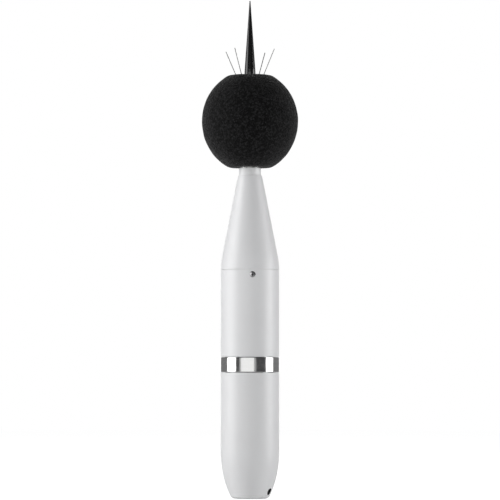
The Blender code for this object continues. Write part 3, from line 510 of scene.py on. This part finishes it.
def build_housing_shell():
    seat_r, seat_bottom, straight_top, rim = 25.6, 104.7, 110.0, 0.1
    top_edge = [(seat_r, HOUSING_TOP, 0.2), (TUBE_R, HOUSING_TOP, 0.45)]
    outside = rounded([*top_edge, (TUBE_R, straight_top)])
    inside = rounded(
        [
            (SLEEVE_R + GAP, 0, 0.3),
            (SLEEVE_R + GAP, FLOOR_TOP, 0.3),
            (19.6, FLOOR_TOP, 1.0),
            (22.1, 20.0),
            (24.0, 30.0),
            (HOUSING_BORE_R, TAPER_START),
            (HOUSING_BORE_R, seat_bottom),
            (seat_r, seat_bottom),
        ]
    )
    shell = lathe("housing_shell", outside + taper_points() + inside, FINE_STEPS)
    carve(shell, lock_hole(rim), *fixing_holes())
    dress(shell, "mast_housing", "shell", "shell_white", "lower_housing")
    # The lock screw's hole wall is painted matt black: painted shade for the dark inside the deep
    # hole.
    just_outside = LOCK_HOLE_R + rim + 0.02
    paint_hole_shade(shell, LOCK_PLACE, just_outside, LOCK_TIP, TUBE_R)


def lug_set(inner, outer, bottom, first):
    """Three arc lugs with open gaps between them, the first gap centred at that azimuth."""
    top = bottom + LUG_HEIGHT
    points = rounded([(inner, bottom), (outer, bottom, 0.35), (outer, top, 0.35), (inner, top)])
    sweep = 120 - 2 * LUG_HALF_GAP
    starts = [first + azimuth + LUG_HALF_GAP for azimuth in THIRDS]
    return [lathe("lug", points, SMALL_STEPS, None, start, sweep) for start in starts]


def build_housing_spigot():
    bottom, top = low("housing_spigot").z, high("housing_spigot").z
    seat_r, bevel, lug_r, lug_bottom = 25.3, 2.4, 25.05, 122.2
    outline = [
        (SPIGOT_BORE_R, top, 0.3),
        (SPIGOT_R, top, 0.5),
        (SPIGOT_R, HOUSING_TOP - GAP, 0.2),
        (seat_r, HOUSING_TOP - GAP, 0.2),
        (seat_r, bottom, 0.3),
        (SPIGOT_BORE_R + bevel, bottom, 0.2),
        (SPIGOT_BORE_R, bottom + bevel, 0.5),
    ]
    body = lathe("spigot_body", rounded(outline), FINE_STEPS)
    lugs = lug_set(SPIGOT_R - LUG_ROOT, lug_r, lug_bottom, 60)
    spigot = merged("housing_spigot_fine", [body, *lugs])
    dress(spigot, "mast_housing", "alloy", "alloy", "housing_spigot")


def build_mast_socket():
    top, bore_end, cable_r = high("mast_socket").z, 40.0, 8.0
    flange_top, flange_r = 14.8, 18.8
    outline = [
        (cable_r, top, 0.4),
        (SLEEVE_R, top, 0.4),
        (SLEEVE_R, flange_top, 0.6),
        (flange_r, flange_top, 0.4),
        (flange_r, FLOOR_TOP + GAP, 0.2),
        (SLEEVE_R, FLOOR_TOP + GAP, 0.2),
        (SLEEVE_R, 0, 0.4),
        (MAST_BORE_R, 0, 0.6),
        (MAST_BORE_R, bore_end, 0.3),
        (cable_r, bore_end, 0.2),
    ]
    socket = lathe("mast_socket_fine", rounded(outline), MEDIUM_STEPS)
    carve(socket, lock_hole(0.0), *fixing_holes())
    dress(socket, "mast_housing", "alloy", "alloy", "mast_socket")


def build_lock_screw():
    """A hexagon-socket grub screw, its thread modelled as close rings, and its brass pad."""
    size, crest, pitch, turns, end = 2.7, 2.72, 0.8, 5, 18.3
    points = [(0, end), (size - 0.7, end), (size - 0.1, end - 0.45)]
    for i in range(turns):
        height = end - 0.6 - i * pitch
        points += [(crest, height - 0.1), (crest, height - 0.2), (size - 0.3, height - 0.55)]
    points += [(size - 0.5, LOCK_TIP), (0, LOCK_TIP)]
    screw = lathe("grub_screw", points, SMALL_STEPS, LOCK_PLACE)
    across_flats, depth = 2.6, 2.8
    corner_r = across_flats / 2 / math.cos(math.radians(30))
    carve(screw, rod("hexagon", corner_r, end + 1, end - depth, 6, LOCK_PLACE))
    dress(screw, "lock_screw", "black_steel", "black_steel", "lock_screw")
    inner, outer, pad_r = 10.6, LOCK_TIP - GAP, 2.4
    pad_outline = [(0, outer), (pad_r, outer, 0.2), (pad_r, inner, 0.35), (0, inner)]
    pad = lathe("brass_pad", rounded(pad_outline), SMALL_STEPS, LOCK_PLACE)
    dress(pad, "clamp_pad", "brass", "brass", "clamp_pad")


# ---------------------------------------------------------------- locking ring and coupling
def build_union_ring():
    lip_bottom, lug_bottom = RING_TOP - 2.3, 119.3
    outline = [
        (RING_LIP_BORE_R, RING_TOP, 0.3),
        (RING_R, RING_TOP, 0.6),
        (RING_R, RING_BOTTOM, 0.6),
        (RING_BORE_R, RING_BOTTOM, 0.3),
        (RING_BORE_R, lip_bottom, 0.2),
        (RING_LIP_BORE_R, lip_bottom, 0.2),
    ]
    body = lathe("ring_body", rounded(outline, 6), FINE_STEPS)
    lugs = lug_set(SPIGOT_R + GAP, RING_BORE_R + LUG_ROOT, lug_bottom, 0)
    ring = merged("locking_ring", [body, *lugs])
    dress(ring, "union_ring", "ring", "ring_steel", "union_ring")


def build_coupling_flange():
    bottom, floor_top, hole_bottom, hole_top = low("coupling_flange").z, 131.0, 120.0, 140.0
    neck_top, neck_r, neck_bore = high("coupling_flange").z, 23.0, 21.3
    flange_top, flange_r = RING_TOP - 2.6, RING_BORE_R - GAP
    outline = [
        (0, floor_top),
        (neck_bore, floor_top, 0.8),
        (neck_bore, neck_top, 0.3),
        (neck_r, neck_top, 0.5),
        (neck_r, flange_top, 0.3),
        (flange_r, flange_top, 0.3),
        (flange_r, bottom, 0.3),
        (0, bottom),
    ]
    flange = lathe("coupling_flange_fine", rounded(outline), FINE_STEPS)
    holes = []
    for node, hole_r in (("cable_socket", 5.8), ("desiccant_canister", 7.3)):
        place = beside(middle(node))
        holes.append(rod("flange_hole", hole_r, hole_top, hole_bottom, SMALL_STEPS, place))
    carve(flange, *holes)
    dress(flange, "instrument", "alloy", "alloy", "coupling_flange")
    gasket = hoop("gasket_fine", "coupling_gasket", SPIGOT_BORE_R, SPIGOT_R, 0.35)
    dress(gasket, "instrument", "rubber", "rubber", "coupling_gasket")


def build_cable_socket():
    """Threaded panel connector with its insulator, key slot and pins."""
    spot, bottom, top = middle("cable_socket"), low("cable_socket").z, high("cable_socket").z
    place = beside(spot)
    shoulder, body_r, crest, root, bore, web = 126.9, 6.7, 5.5, 5.15, 4.6, 120.5
    points = [(0, top), (crest - 0.4, top), (crest, top - 0.4), (crest, shoulder)]
    points += [(body_r - 0.2, shoulder), (body_r, shoulder - 0.3), (body_r, shoulder - 2.8)]
    points += [(body_r - 0.3, shoulder - 3.1), (root, shoulder - 3.3)]
    pitch, turns = 1.0, 9
    for i in range(turns):
        height = shoulder - 4.0 - i * pitch
        points += [(root, height), (crest, height - 0.3)]
        points += [(crest, height - 0.45), (root, height - 0.75)]
    points += [(root, bottom + 0.3), (root - 0.3, bottom), (bore, bottom), (bore, web), (0, web)]
    shell = lathe("cable_socket_fine", points, SMALL_STEPS, place)
    dress(shell, "instrument", "nickel", "stem_steel", "cable_socket")
    face, insert_top, insert_r = low("socket_insert").z, high("socket_insert").z, bore - GAP
    outline = [(0, insert_top), (insert_r, insert_top), (insert_r, face, 0.25), (0, face)]
    insert = lathe("socket_insulator", rounded(outline), SMALL_STEPS, place)
    carve(insert, block("key", (1.4, 1.4, 9.0), (0, -insert_r, face + 3.2), 0.0, place))
    dress(insert, "instrument", "component", "component", "socket_insert")
    pin_r, pin_circle_r, pin_top, pin_end = 0.45, 2.4, face + 1, face - 1.3
    outline = rounded([(0, pin_top), (pin_r, pin_top), (pin_r, pin_end, 0.4), (0, pin_end)])
    pins = []
    for azimuth in range(30, 390, 60):
        pin_spot = outward(azimuth) * pin_circle_r + spot
        pins.append(lathe("pin", outline, 16, beside(pin_spot)))
    dress(merged("socket_pins", pins), "instrument", "gold", "brass")


def gel_beads():
    """Close layers of beads round a core, each layer turned against the one below."""
    spot, size, core_r, bead_r = middle("silica_gel"), radius("silica_gel"), 8.6, 1.15
    bottom, top = low("silica_gel").z, high("silica_gel").z
    rise, spacing, distance = 1.75 * bead_r, 2.06 * bead_r, size - bead_r
    layers = int((top - bottom - 2 * bead_r) / rise) + 1
    count = int(2 * math.pi * distance / spacing)
    work = bmesh.new()
    for layer in range(layers):
        height = bottom + bead_r + rise * layer
        for i in range(count):
            bead = spot + outward(360 * (i + 0.5 * (layer % 2)) / count) * distance
            place = Matrix.Translation((bead.x * MM, bead.y * MM, height * MM))
            bmesh.ops.create_icosphere(work, subdivisions=2, radius=bead_r * MM, matrix=place)
    core = rod("gel_core", core_r, top, bottom, 32, beside(spot))
    beads = new_object("gel_beads", work)
    return merged("silica_gel_beads", [beads, core])


def build_desiccant():
    """The clear canister, its beads and its knurled cap with a coin slot."""
    spot = middle("desiccant_canister")
    place = beside(spot)
    mouth, top = low("desiccant_canister").z, high("desiccant_canister").z
    size, shoulder, wall, neck_r, vent_r = 12.5, 126.9, 1.2, 7.0, 3.0
    outline = [
        (vent_r, top, 0.2),
        (neck_r, top, 0.5),
        (neck_r, shoulder, 0.2),
        (size, shoulder, 1.6),
        (size, mouth, 0.2),
        (size - wall, mouth, 0.2),
        (size - wall, shoulder - 3, 1.2),
        (vent_r, shoulder - 2, 0.3),
    ]
    canister = lathe("desiccant_canister_fine", rounded(outline), MEDIUM_STEPS, place)
    dress(canister, "instrument", "clear", "clear_plastic", "desiccant_canister")
    cap_bottom, plug_top = low("desiccant_cap").z, high("desiccant_cap").z
    plug_r, cap_r, rib_r = size - wall - GAP, size - 0.35, 0.38
    outline = [
        (0, plug_top),
        (plug_r, plug_top, 0.3),
        (plug_r, mouth - GAP, 0.2),
        (cap_r, mouth - GAP, 0.3),
        (cap_r, cap_bottom, 1.0),
        (0, cap_bottom),
    ]
    cap = lathe("cap_body", rounded(outline), MEDIUM_STEPS, place)
    carve(cap, block("coin_slot", (14.0, 1.6, 2.0), (0, 0, cap_bottom), 0.0, place))
    rib_top, rib_bottom = mouth - 0.6, cap_bottom + 1
    outline = [(0, rib_top), (rib_r, rib_top, 0.2), (rib_r, rib_bottom, 0.2), (0, rib_bottom)]
    ribs = []
    for azimuth in range(0, 360, 9):
        rib_spot = spot + outward(azimuth) * (size - rib_r)
        ribs.append(lathe("rib", rounded(outline, 2), 10, beside(rib_spot)))
    cap = merged("desiccant_cap_fine", [cap, *ribs])
    dress(cap, "instrument", "matt_black", "black_plastic", "desiccant_cap")
    dress(gel_beads(), "instrument", "gel", "silica_gel", "silica_gel")


# ---------------------------------------------------------------- instrument tube and nose
def screw_holes():
    """Cutters for countersunk holes, each with a small clearance round its screw's head."""
    head_r, shank_r, near, far = 2.95, 1.6, 20.9, TUBE_R + CLEAR
    points = [(0, far), (head_r, far), (head_r, TUBE_R - 0.35)]
    points += [(shank_r, TUBE_R - 1.7), (shank_r, near), (0, near)]
    places = [radial_frame(azimuth, SCREW_HEIGHT) for azimuth in THIRDS]
    return [lathe("screw_hole", points, SMALL_STEPS, place) for place in places]


def build_upper_tube():
    """The tube, its outer side split round the screws so that their holes leave the rest plain."""
    bottom, foot_top, band, step = low("upper_tube").z, 143.7, 4.0, 6.0
    outline = [
        (TUBE_BORE_R, SEAM, 0.2),
        (TUBE_R, SEAM, 0.35),
        (TUBE_R, SCREW_HEIGHT + band),
        (TUBE_R, SCREW_HEIGHT - band),
        (TUBE_R, SCREW_HEIGHT - band - step),
        (TUBE_R, bottom, 0.45),
        (RING_LIP_BORE_R, bottom, 0.3),
        (RING_LIP_BORE_R, foot_top, 0.3),
        (TUBE_BORE_R, foot_top + 1, 0.5),
    ]
    tube = lathe("upper_tube_fine", rounded(outline), FINE_STEPS)
    carve(tube, *screw_holes())
    dress(tube, "instrument", "shell", "shell_white", "upper_tube")


def nose_radius(height):
    """The cone's outer radius at that height."""
    return TUBE_R - (height - NOSE_FOOT) * NOSE_SLOPE


def build_nose():
    half_angle = math.degrees(math.atan(NOSE_SLOPE))
    blend_bottom = NOSE_FOOT - NOSE_BLEND_R * math.tan(math.radians(half_angle / 2))
    blend = arc(TUBE_R - NOSE_BLEND_R, blend_bottom, NOSE_BLEND_R, half_angle, 0, 10)
    spigot_r, spigot_bore, bore, shoulder, wall = 24.8, 22.85, STEM_R + GAP, 294.0, 2.35
    seal_at, bottom, groove_r = middle("nose_seal").z, low("nose_cone").z, 23.4
    groove_top, groove_bottom = seal_at + 1, seal_at - 1
    outline = [
        (bore, NOSE_TOP, 0.2),
        (nose_radius(NOSE_TOP) + 0.05, NOSE_TOP, 0.3),
        *blend,
        (TUBE_R, SEAM + FINE_GAP, 0.3),
        (spigot_r, SEAM + FINE_GAP, 0.1),
        (spigot_r, groove_top, 0.1),
        (groove_r, groove_top, 0.1),
        (groove_r, groove_bottom, 0.1),
        (spigot_r, groove_bottom, 0.1),
        (spigot_r, bottom, 0.4),
        (spigot_bore, bottom, 0.2),
        (spigot_bore, NOSE_FOOT + (TUBE_R - wall - spigot_bore) / NOSE_SLOPE),
        (nose_radius(shoulder) - wall, shoulder, 0.6),
        (bore, shoulder, 0.2),
    ]
    nose = lathe("nose_cone_fine", rounded(outline), FINE_STEPS)
    carve(nose, *screw_holes())
    dress(nose, "instrument", "shell", "shell_white", "nose_cone")
    minor, count = 0.55, 16
    seal_r, last = radius("nose_seal") - minor, 360 - 360 / count
    seal_points = arc(seal_r, seal_at, minor, 0, last, count - 1)
    seal = lathe("nose_seal_fine", seal_points, MEDIUM_STEPS)
    dress(seal, "instrument", "rubber", "rubber", "nose_seal")


def build_case_screws():
    """Raised countersunk screws, with painted shade inside the cross recess."""
    head, shank, end, dome_r, recess_r = 2.75, 1.3, 21.2, 9.35, 1.95
    outline = [
        *arc(0, TUBE_R - dome_r, dome_r, 90, 73, 10),
        (head, TUBE_R - 0.55, 0.05),
        (shank, TUBE_R - 1.8, 0.2),
        (shank, end, 0.2),
        (0, end),
    ]
    for i, azimuth in enumerate(THIRDS, 1):
        place = radial_frame(azimuth, SCREW_HEIGHT)
        screw = lathe(f"case_screw_fine_{i}", rounded(outline), SMALL_STEPS, place)
        arms = []
        for turn in (0, 90):
            arm = block("arm", (3.5, 0.95, 3.6), (0, 0, TUBE_R), 0.12, place @ turned(turn))
            arms.append(arm)
        carve(screw, *arms)
        dress(screw, "instrument", "screw", "stem_steel", f"case_screw_{i}")
        # The cross recess is painted matt black: painted shade in the recess.
        paint_hole_shade(screw, place, recess_r, TUBE_R - 4.2, TUBE_R - 0.28)


def build_neck():
    bottom, bore, flange_r = NOSE_TOP + FINE_GAP, STEM_R + GAP, 10.0
    outline = [
        (bore, COLLAR_TOP, 0.15),
        (COLLAR_R, COLLAR_TOP, 1.0),
        (COLLAR_R, bottom, 0.15),
        (bore, bottom, 0.1),
    ]
    collar = lathe("neck_collar_fine", rounded(outline, 6), MEDIUM_STEPS)
    dress(collar, "instrument", "shell", "shell_white", "neck_collar")
    stem_bottom = low("mic_stem").z
    outline = [
        (STEM_BORE_R, STEM_TOP, 0.2),
        (STEM_R, STEM_TOP, 0.4),
        (STEM_R, stem_bottom + 3.7, 0.2),
        (flange_r, stem_bottom + 3.7, 0.2),
        (flange_r, stem_bottom, 0.3),
        (STEM_BORE_R, stem_bottom, 0.2),
    ]
    stem = lathe("mic_stem_fine", rounded(outline), MEDIUM_STEPS)
    dress(stem, "instrument", "steel", "stem_steel", "mic_stem")


def build_microphone():
    """The preamplifier, the cartridge with its grooves, and the slotted protection grid."""
    bottom, top, groove = low("preamplifier").z, high("preamplifier").z, 260.0
    outline = [
        (0, top),
        (MIC_R, top, 0.15),
        (MIC_R, groove + 2, 0.1),
        (MIC_R - 0.45, groove + 1.5, 0.1),
        (MIC_R - 0.45, groove - 1.5, 0.1),
        (MIC_R, groove - 2, 0.1),
        (MIC_R, bottom, 0.4),
        (0, bottom),
    ]
    body = lathe("preamplifier_fine", rounded(outline), MEDIUM_STEPS)
    dress(body, "instrument", "steel", "stem_steel", "preamplifier")
    bottom, top = low("mic_cartridge").z, high("mic_cartridge").z
    groove, groove_r = bottom + 5.6, MIC_R - 0.3
    outline = [
        (0, top),
        (groove_r, top, 0.1),
        (groove_r, top - 0.4),
        (MIC_R, top - 0.7, 0.1),
        (MIC_R, groove + 0.4, 0.05),
        (groove_r, groove + 0.2, 0.05),
        (groove_r, groove - 0.2, 0.05),
        (MIC_R, groove - 0.4, 0.05),
        (MIC_R, bottom, 0.15),
        (0, bottom),
    ]
    cartridge = lathe("mic_cartridge_fine", rounded(outline), MEDIUM_STEPS)
    dress(cartridge, "instrument", "nickel", "stem_steel", "mic_cartridge")
    bottom, top = low("mic_grid").z, high("mic_grid").z
    outer, inner, wall, vent_r, hole_r = 6.6, 5.7, 0.8, 0.6, 0.55
    outline = [
        (vent_r, top, 0.1),
        (outer, top, 0.7),
        (outer, bottom, 0.1),
        (inner, bottom, 0.1),
        (inner, top - wall, 0.3),
        (vent_r, top - wall, 0.1),
    ]
    grid = lathe("mic_grid_fine", rounded(outline), MEDIUM_STEPS)
    size, at = (0.7, 30, 1.9), (0, 0, bottom + 2.2)
    slits = [block("slit", size, at, 0.0, turned(azimuth)) for azimuth in range(0, 180, 15)]
    places = [around(4.3, azimuth) for azimuth in range(0, 360, 40)]
    places += [around(2.4, azimuth) for azimuth in range(20, 380, 72)]
    holes = [rod("hole", hole_r, top + 1, top - 2, 16, place) for place in places]
    carve(grid, *slits, *holes)
    dress(grid, "instrument", "nickel", "stem_steel", "mic_grid")


# ---------------------------------------------------------------- rain cover
def slot_cutter(azimuth, height, width, tall, reach):
    """An upright slot with round ends, cut through both sides."""
    work = bmesh.new()
    steps, straight = 12, tall / 2 - width / 2
    outline = []
    for side, start in ((1, 0), (-1, 180)):
        for i in range(steps + 1):
            angle = math.radians(start + 180 * i / steps)
            x, y = width / 2 * math.cos(angle), width / 2 * math.sin(angle) + side * straight
            outline.append((x * MM, y * MM))
    for end in (-reach, reach):
        for x, y in outline:
            work.verts.new((x, y, end * MM))
    verts = list(work.verts)
    count = len(outline)
    work.faces.new(list(reversed(verts[:count])))
    work.faces.new(verts[count:])
    for i in range(count):
        k = (i + 1) % count
        work.faces.new((verts[i], verts[k], verts[count + k], verts[count + i]))
    return new_object("slot", work, radial_frame(azimuth, height))


def build_rain_cover():
    bottom, top, shoulder = low("rain_cover").z, high("rain_cover").z, 349.2
    outer, inner = STEM_R - 0.2, STEM_BORE_R - 0.2
    outline = [
        (0, top),
        (outer - 3.2, top - 0.6, 3.0),
        (outer - 0.7, top - 2, 1.5),
        (outer, shoulder, 1.5),
        (outer, bottom, 0.3),
        (inner, bottom, 0.2),
        (inner, shoulder, 0.8),
        (inner - 2.4, top - 2.6, 1.0),
        (0, top - 2.2),
    ]
    cover = lathe("rain_cover_fine", rounded(outline, 6), MEDIUM_STEPS)
    slots, slot_height, slot_width, slot_tall = [], shoulder - 6, 1.8, 7.0
    for azimuth in range(0, 180, 30):
        slots.append(slot_cutter(azimuth, slot_height, slot_width, slot_tall, 2 * outer))
    carve(cover, *slots)
    dress(cover, "rain_cover", "steel", "stem_steel", "rain_cover")
    plate_top, plate_r, plate_bore = high("actuator_plate").z, radius("actuator_plate"), 1.0
    plate = hoop("actuator_plate_fine", "actuator_plate", plate_bore, plate_r, 0.15)
    bars = [block("bar", (7.0, 0.9, 4.0), (0, y, plate_top)) for y in (-4.2, -2.6, 2.6, 4.2)]
    carve(plate, *bars)
    dress(plate, "rain_cover", "nickel", "stem_steel", "actuator_plate")


# ---------------------------------------------------------------- windscreen and spikes
FOAM_CELL = 1.9  # millimetres between the larger pores
FOAM_RELIEF = 0.3  # depth of a pore
FOAM_SWELL = 0.25  # height of the broad swells
FOAM_SWELL_SIZE = 9.0
FOAM_STEPS = 420  # round the ball
FOAM_ROWS = 200  # down its outer side


def foam_points():
    """The ball's outline: hub's space, spike's hole, outer side from the top down, then bore."""
    centre, crown, foot = (FOAM_TOP + FOAM_BOTTOM) / 2, FOAM_TOP - 0.3, FOAM_BOTTOM + 0.3
    hole_r, bore_r, bore_top, cut_fillet = 5.45, 10.4, 356.5, 5.0
    angles = [math.radians(90 - i) for i in range(181)]
    curve = [(FOAM_R * math.cos(a), centre + FOAM_HALF_LENGTH * math.sin(a)) for a in angles]
    curve = [(r, z) for r, z in curve if foot < z < crown]
    side = [
        (hole_r + 2.4, crown),
        (curve[0][0] - 0.4, crown, cut_fillet),
        *curve[3:-3],
        (curve[-1][0] - 0.4, foot, cut_fillet),
        (bore_r + 2.2, foot),
    ]
    lip_top = [(hole_r, crown - 1.6), (hole_r + 0.5, crown - 0.7), (hole_r + 1.3, crown - 0.15)]
    lip_bottom = [
        (bore_r + 1.0, FOAM_BOTTOM + 0.35),
        (bore_r + 0.3, FOAM_BOTTOM + 0.8),
        (bore_r, FOAM_BOTTOM + 1.6),
    ]
    hub_top, hub_bottom, hub_r = high("spike_hub").z + GAP, low("spike_hub").z - GAP, 9.8
    hub_space = [(0, hub_bottom), (hub_r, hub_bottom), (hub_r, hub_top), (hole_r, hub_top)]
    bore = [(bore_r, bore_top), (0, bore_top)]
    return hub_space + lip_top + evenly(rounded(side, 8), FOAM_ROWS) + lip_bottom + bore


def evenly(points, count):
    """The same line through that many equal steps."""
    lengths = [0.0]
    for (r, z), (next_r, next_z) in zip(points, points[1:]):
        lengths.append(lengths[-1] + math.hypot(next_r - r, next_z - z))
    spread, k = [], 0
    for i in range(count + 1):
        reach = lengths[-1] * i / count
        while k < len(points) - 2 and lengths[k + 1] < reach:
            k += 1
        share = (reach - lengths[k]) / (lengths[k + 1] - lengths[k])
        (r, z), (next_r, next_z) = points[k], points[k + 1]
        spread.append((r + (next_r - r) * share, z + (next_z - z) * share))
    return spread


def build_foam_ball():
    """The ball's outer side is pitted with open pores, over broad shallow swells."""
    ball = lathe("foam_ball_fine", foam_points(), FOAM_STEPS)
    centre = Vector((0, 0, (FOAM_TOP + FOAM_BOTTOM) / 2))
    plain_within, plain_beside_axis, steepness = 30, 12, 1.6
    for vertex in ball.data.vertices:
        spot = vertex.co / MM
        away = spot - centre
        if away.length < plain_within or spot.xy.length < plain_beside_axis:
            continue
        nearest, second = noise.voronoi(spot / FOAM_CELL)[0][:2]
        pit = min(1.0, (second - nearest) * steepness)
        swell = noise.noise(spot / FOAM_SWELL_SIZE) * FOAM_SWELL
        vertex.co += away.normalized() * (swell - FOAM_RELIEF * pit) * MM
    dress(ball, "windscreen", "foam", "foam", "foam_ball")


def build_windscreen_sleeve():
    inner, outer = 9.3, 10.1
    sleeve = hoop("windscreen_sleeve_fine", "windscreen_sleeve", inner, outer, 0.25)
    dress(sleeve, "windscreen", "matt_black", "black_plastic", "windscreen_sleeve")


def build_bird_spike():
    """The long spike: its straight foot, a soft shoulder and a cone drawn to a small round tip."""
    foot_r, shank_r, cone_start, foot, tip_r = 5.2, 2.0, 400.0, 380.0, 0.5
    bottom = low("bird_spike").z
    tip = arc(0, SPIKE_TOP - tip_r, tip_r, 90, 8, 6)
    outline = [
        *tip,
        (foot_r - 0.15, cone_start + 1.2, 8.0),
        (foot_r, cone_start - 2, 8.0),
        (foot_r, foot, 0.3),
        (shank_r, foot, 0.2),
        (shank_r, bottom, 0.4),
        (0, bottom),
    ]
    spike = lathe("bird_spike_fine", rounded(outline, 6), MEDIUM_STEPS)
    dress(spike, "windscreen", "gloss_black", "black_plastic", "bird_spike")


def wire_ends(node):
    """Both ends of a slanted wire's centreline, which runs a little inside the box round it."""
    inset, nearest, furthest = 0.36, low(node), high(node)
    for axis in (0, 1):
        if abs(nearest[axis]) > abs(furthest[axis]):
            nearest[axis], furthest[axis] = furthest[axis], nearest[axis]
        side = math.copysign(inset, furthest[axis])
        nearest[axis] += side
        furthest[axis] -= side
    return nearest, furthest


def build_bird_wires():
    """Thin drawn wires with domed tips."""
    for i in range(1, 5):
        start, end = wire_ends(f"bird_wire_{i}")
        along = end - start
        place = Matrix.Translation(start * MM) @ along.to_track_quat("Z", "Y").to_matrix().to_4x4()
        dome = arc(0, along.length - WIRE_R, WIRE_R, 90, 0, 5)
        wire = lathe(f"bird_wire_fine_{i}", [*dome, (WIRE_R, 0), (0, 0)], 20, place)
        dress(wire, "windscreen", "wire", "wire_steel", f"bird_wire_{i}")


# ---------------------------------------------------------------- CAD nodes that stay
KEPT_NODES = {
    "steel": ["socket_screw_1", "socket_screw_2", "socket_screw_3", "mic_diaphragm"],
    "nickel": ["socket_nut", "shield_can"],
    "alloy": ["chassis_plate", "chassis_rod_1", "chassis_rod_2", "chassis_rod_3"],
    "screw": ["board_foot_1", "board_foot_2"],
    "ptfe": ["insulator_upper", "insulator_lower"],
    "component": ["preamp_plug", "power_converter", "lead_header"],
    "board": ["main_board"],
    "capacitor": ["capacitor_1", "capacitor_2"],
    "jacket": ["preamp_lead"],
    "matt_black": ["spike_hub"],
}


def dress_kept_nodes():
    for finish, nodes in KEPT_NODES.items():
        for node in nodes:
            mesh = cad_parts[node].data
            mesh.materials.clear()
            mesh.materials.append(FINISHES[finish])


# ---------------------------------------------------------------- camera, floor and light
CAMERA_AZIMUTH = -5.1
FLOOR_R = 3.0


def build_camera():
    """A long lens at the height of the ring, a little to the left of the front case screw."""
    distance, eye, target = 2.86, 0.124, 0.2317
    data = bpy.data.cameras.new("camera")
    data.lens = 220.5
    data.sensor_width = 36
    camera = bpy.data.objects.new("camera", data)
    bpy.context.scene.collection.objects.link(camera)
    camera.location = outward(CAMERA_AZIMUTH) * distance + Vector((0, 0, eye))
    aim = Vector((0, 0, target)) - camera.location
    camera.rotation_euler = aim.to_track_quat("-Z", "Y").to_euler()
    bpy.context.scene.camera = camera


def softbox(name, azimuth, width, height, level, radiance, distance=1.3):
    """A lit panel that faces the object, at an azimuth counted from the camera's."""
    data = bpy.data.lights.new(name, "AREA")
    data.shape = "RECTANGLE"
    data.size = width
    data.size_y = height
    data.energy = radiance * math.pi * width * height
    panel = bpy.data.objects.new(name, data)
    bpy.context.scene.collection.objects.link(panel)
    away = outward(CAMERA_AZIMUTH + azimuth)
    panel.location = away * distance + Vector((0, 0, level))
    panel.rotation_euler = (-away).to_track_quat("-Z", "Y").to_euler()
    panel.visible_camera = False


def build_lights():
    """Two bright softboxes for the highlights, and dimmer panels that fill in between."""
    softbox("left_softbox", -78.5, 0.97, 1.9, 0.35, 3.4)
    softbox("right_softbox", 83, 0.80, 1.2, 0.05, 5.0)
    softbox("front_fill", -10, 1.25, 1.1, 0.10, 1.0)
    softbox("front_fill_wide", -9, 1.75, 1.1, 0.10, 0.5, 1.35)
    softbox("left_wall", -100, 3.0, 1.9, 0.35, 0.2, 1.4)
    softbox("right_wall", 122, 1.4, 1.9, 0.35, 0.2, 1.4)
    softbox("rear_fill", 180, 1.1, 1.6, 0.40, 1.5)


def build_world():
    """White behind the object, and a dim room for what it reflects."""
    world = bpy.data.worlds.new("studio")
    bpy.context.scene.world = world
    world.use_nodes = True
    nodes, links = world.node_tree.nodes, world.node_tree.links
    nodes.clear()
    room = nodes.new("ShaderNodeBackground")
    room.inputs["Color"].default_value = (0.10, 0.10, 0.103, 1)
    backdrop = nodes.new("ShaderNodeBackground")
    backdrop.inputs["Color"].default_value = (1, 1, 1, 1)
    path = nodes.new("ShaderNodeLightPath")
    mix = nodes.new("ShaderNodeMixShader")
    output = nodes.new("ShaderNodeOutputWorld")
    links.new(path.outputs["Is Camera Ray"], mix.inputs["Fac"])
    links.new(room.outputs["Background"], mix.inputs[1])
    links.new(backdrop.outputs["Background"], mix.inputs[2])
    links.new(mix.outputs["Shader"], output.inputs["Surface"])


def build_floor():
    """A wide pale floor that runs into the white behind it, with little glow of its own."""
    material = bpy.data.materials.new("pale_floor")
    material.use_nodes = True
    nodes, links = material.node_tree.nodes, material.node_tree.links
    shader = nodes["Principled BSDF"]
    shader.inputs["Base Color"].default_value = (0.6, 0.6, 0.6, 1)
    shader.inputs["Roughness"].default_value = 0.9
    shader.inputs["Specular IOR Level"].default_value = 0.1
    shader.inputs["Emission Color"].default_value = (1, 1, 1, 1)
    path = nodes.new("ShaderNodeLightPath")
    glow = nodes.new("ShaderNodeMapRange")
    glow.inputs["To Min"].default_value = 0.12
    glow.inputs["To Max"].default_value = 0.92
    links.new(path.outputs["Is Camera Ray"], glow.inputs["Value"])
    links.new(glow.outputs["Result"], shader.inputs["Emission Strength"])
    top, bottom = -0.05, -8.0
    floor = rod("floor", FLOOR_R / MM, top, bottom, 128)
    floor.data.materials.append(material)


def build_pieces():
    build_housing_shell()
    build_housing_spigot()
    build_mast_socket()
    build_lock_screw()
    build_union_ring()
    build_coupling_flange()
    build_cable_socket()
    build_desiccant()
    build_upper_tube()
    build_nose()
    build_case_screws()
    build_neck()
    build_microphone()
    build_rain_cover()
    build_foam_ball()
    build_windscreen_sleeve()
    build_bird_spike()
    build_bird_wires()
    dress_kept_nodes()


build_camera()
build_pieces()
build_floor()
build_lights()
build_world()
bpy.context.scene.view_settings.view_transform = "Standard"
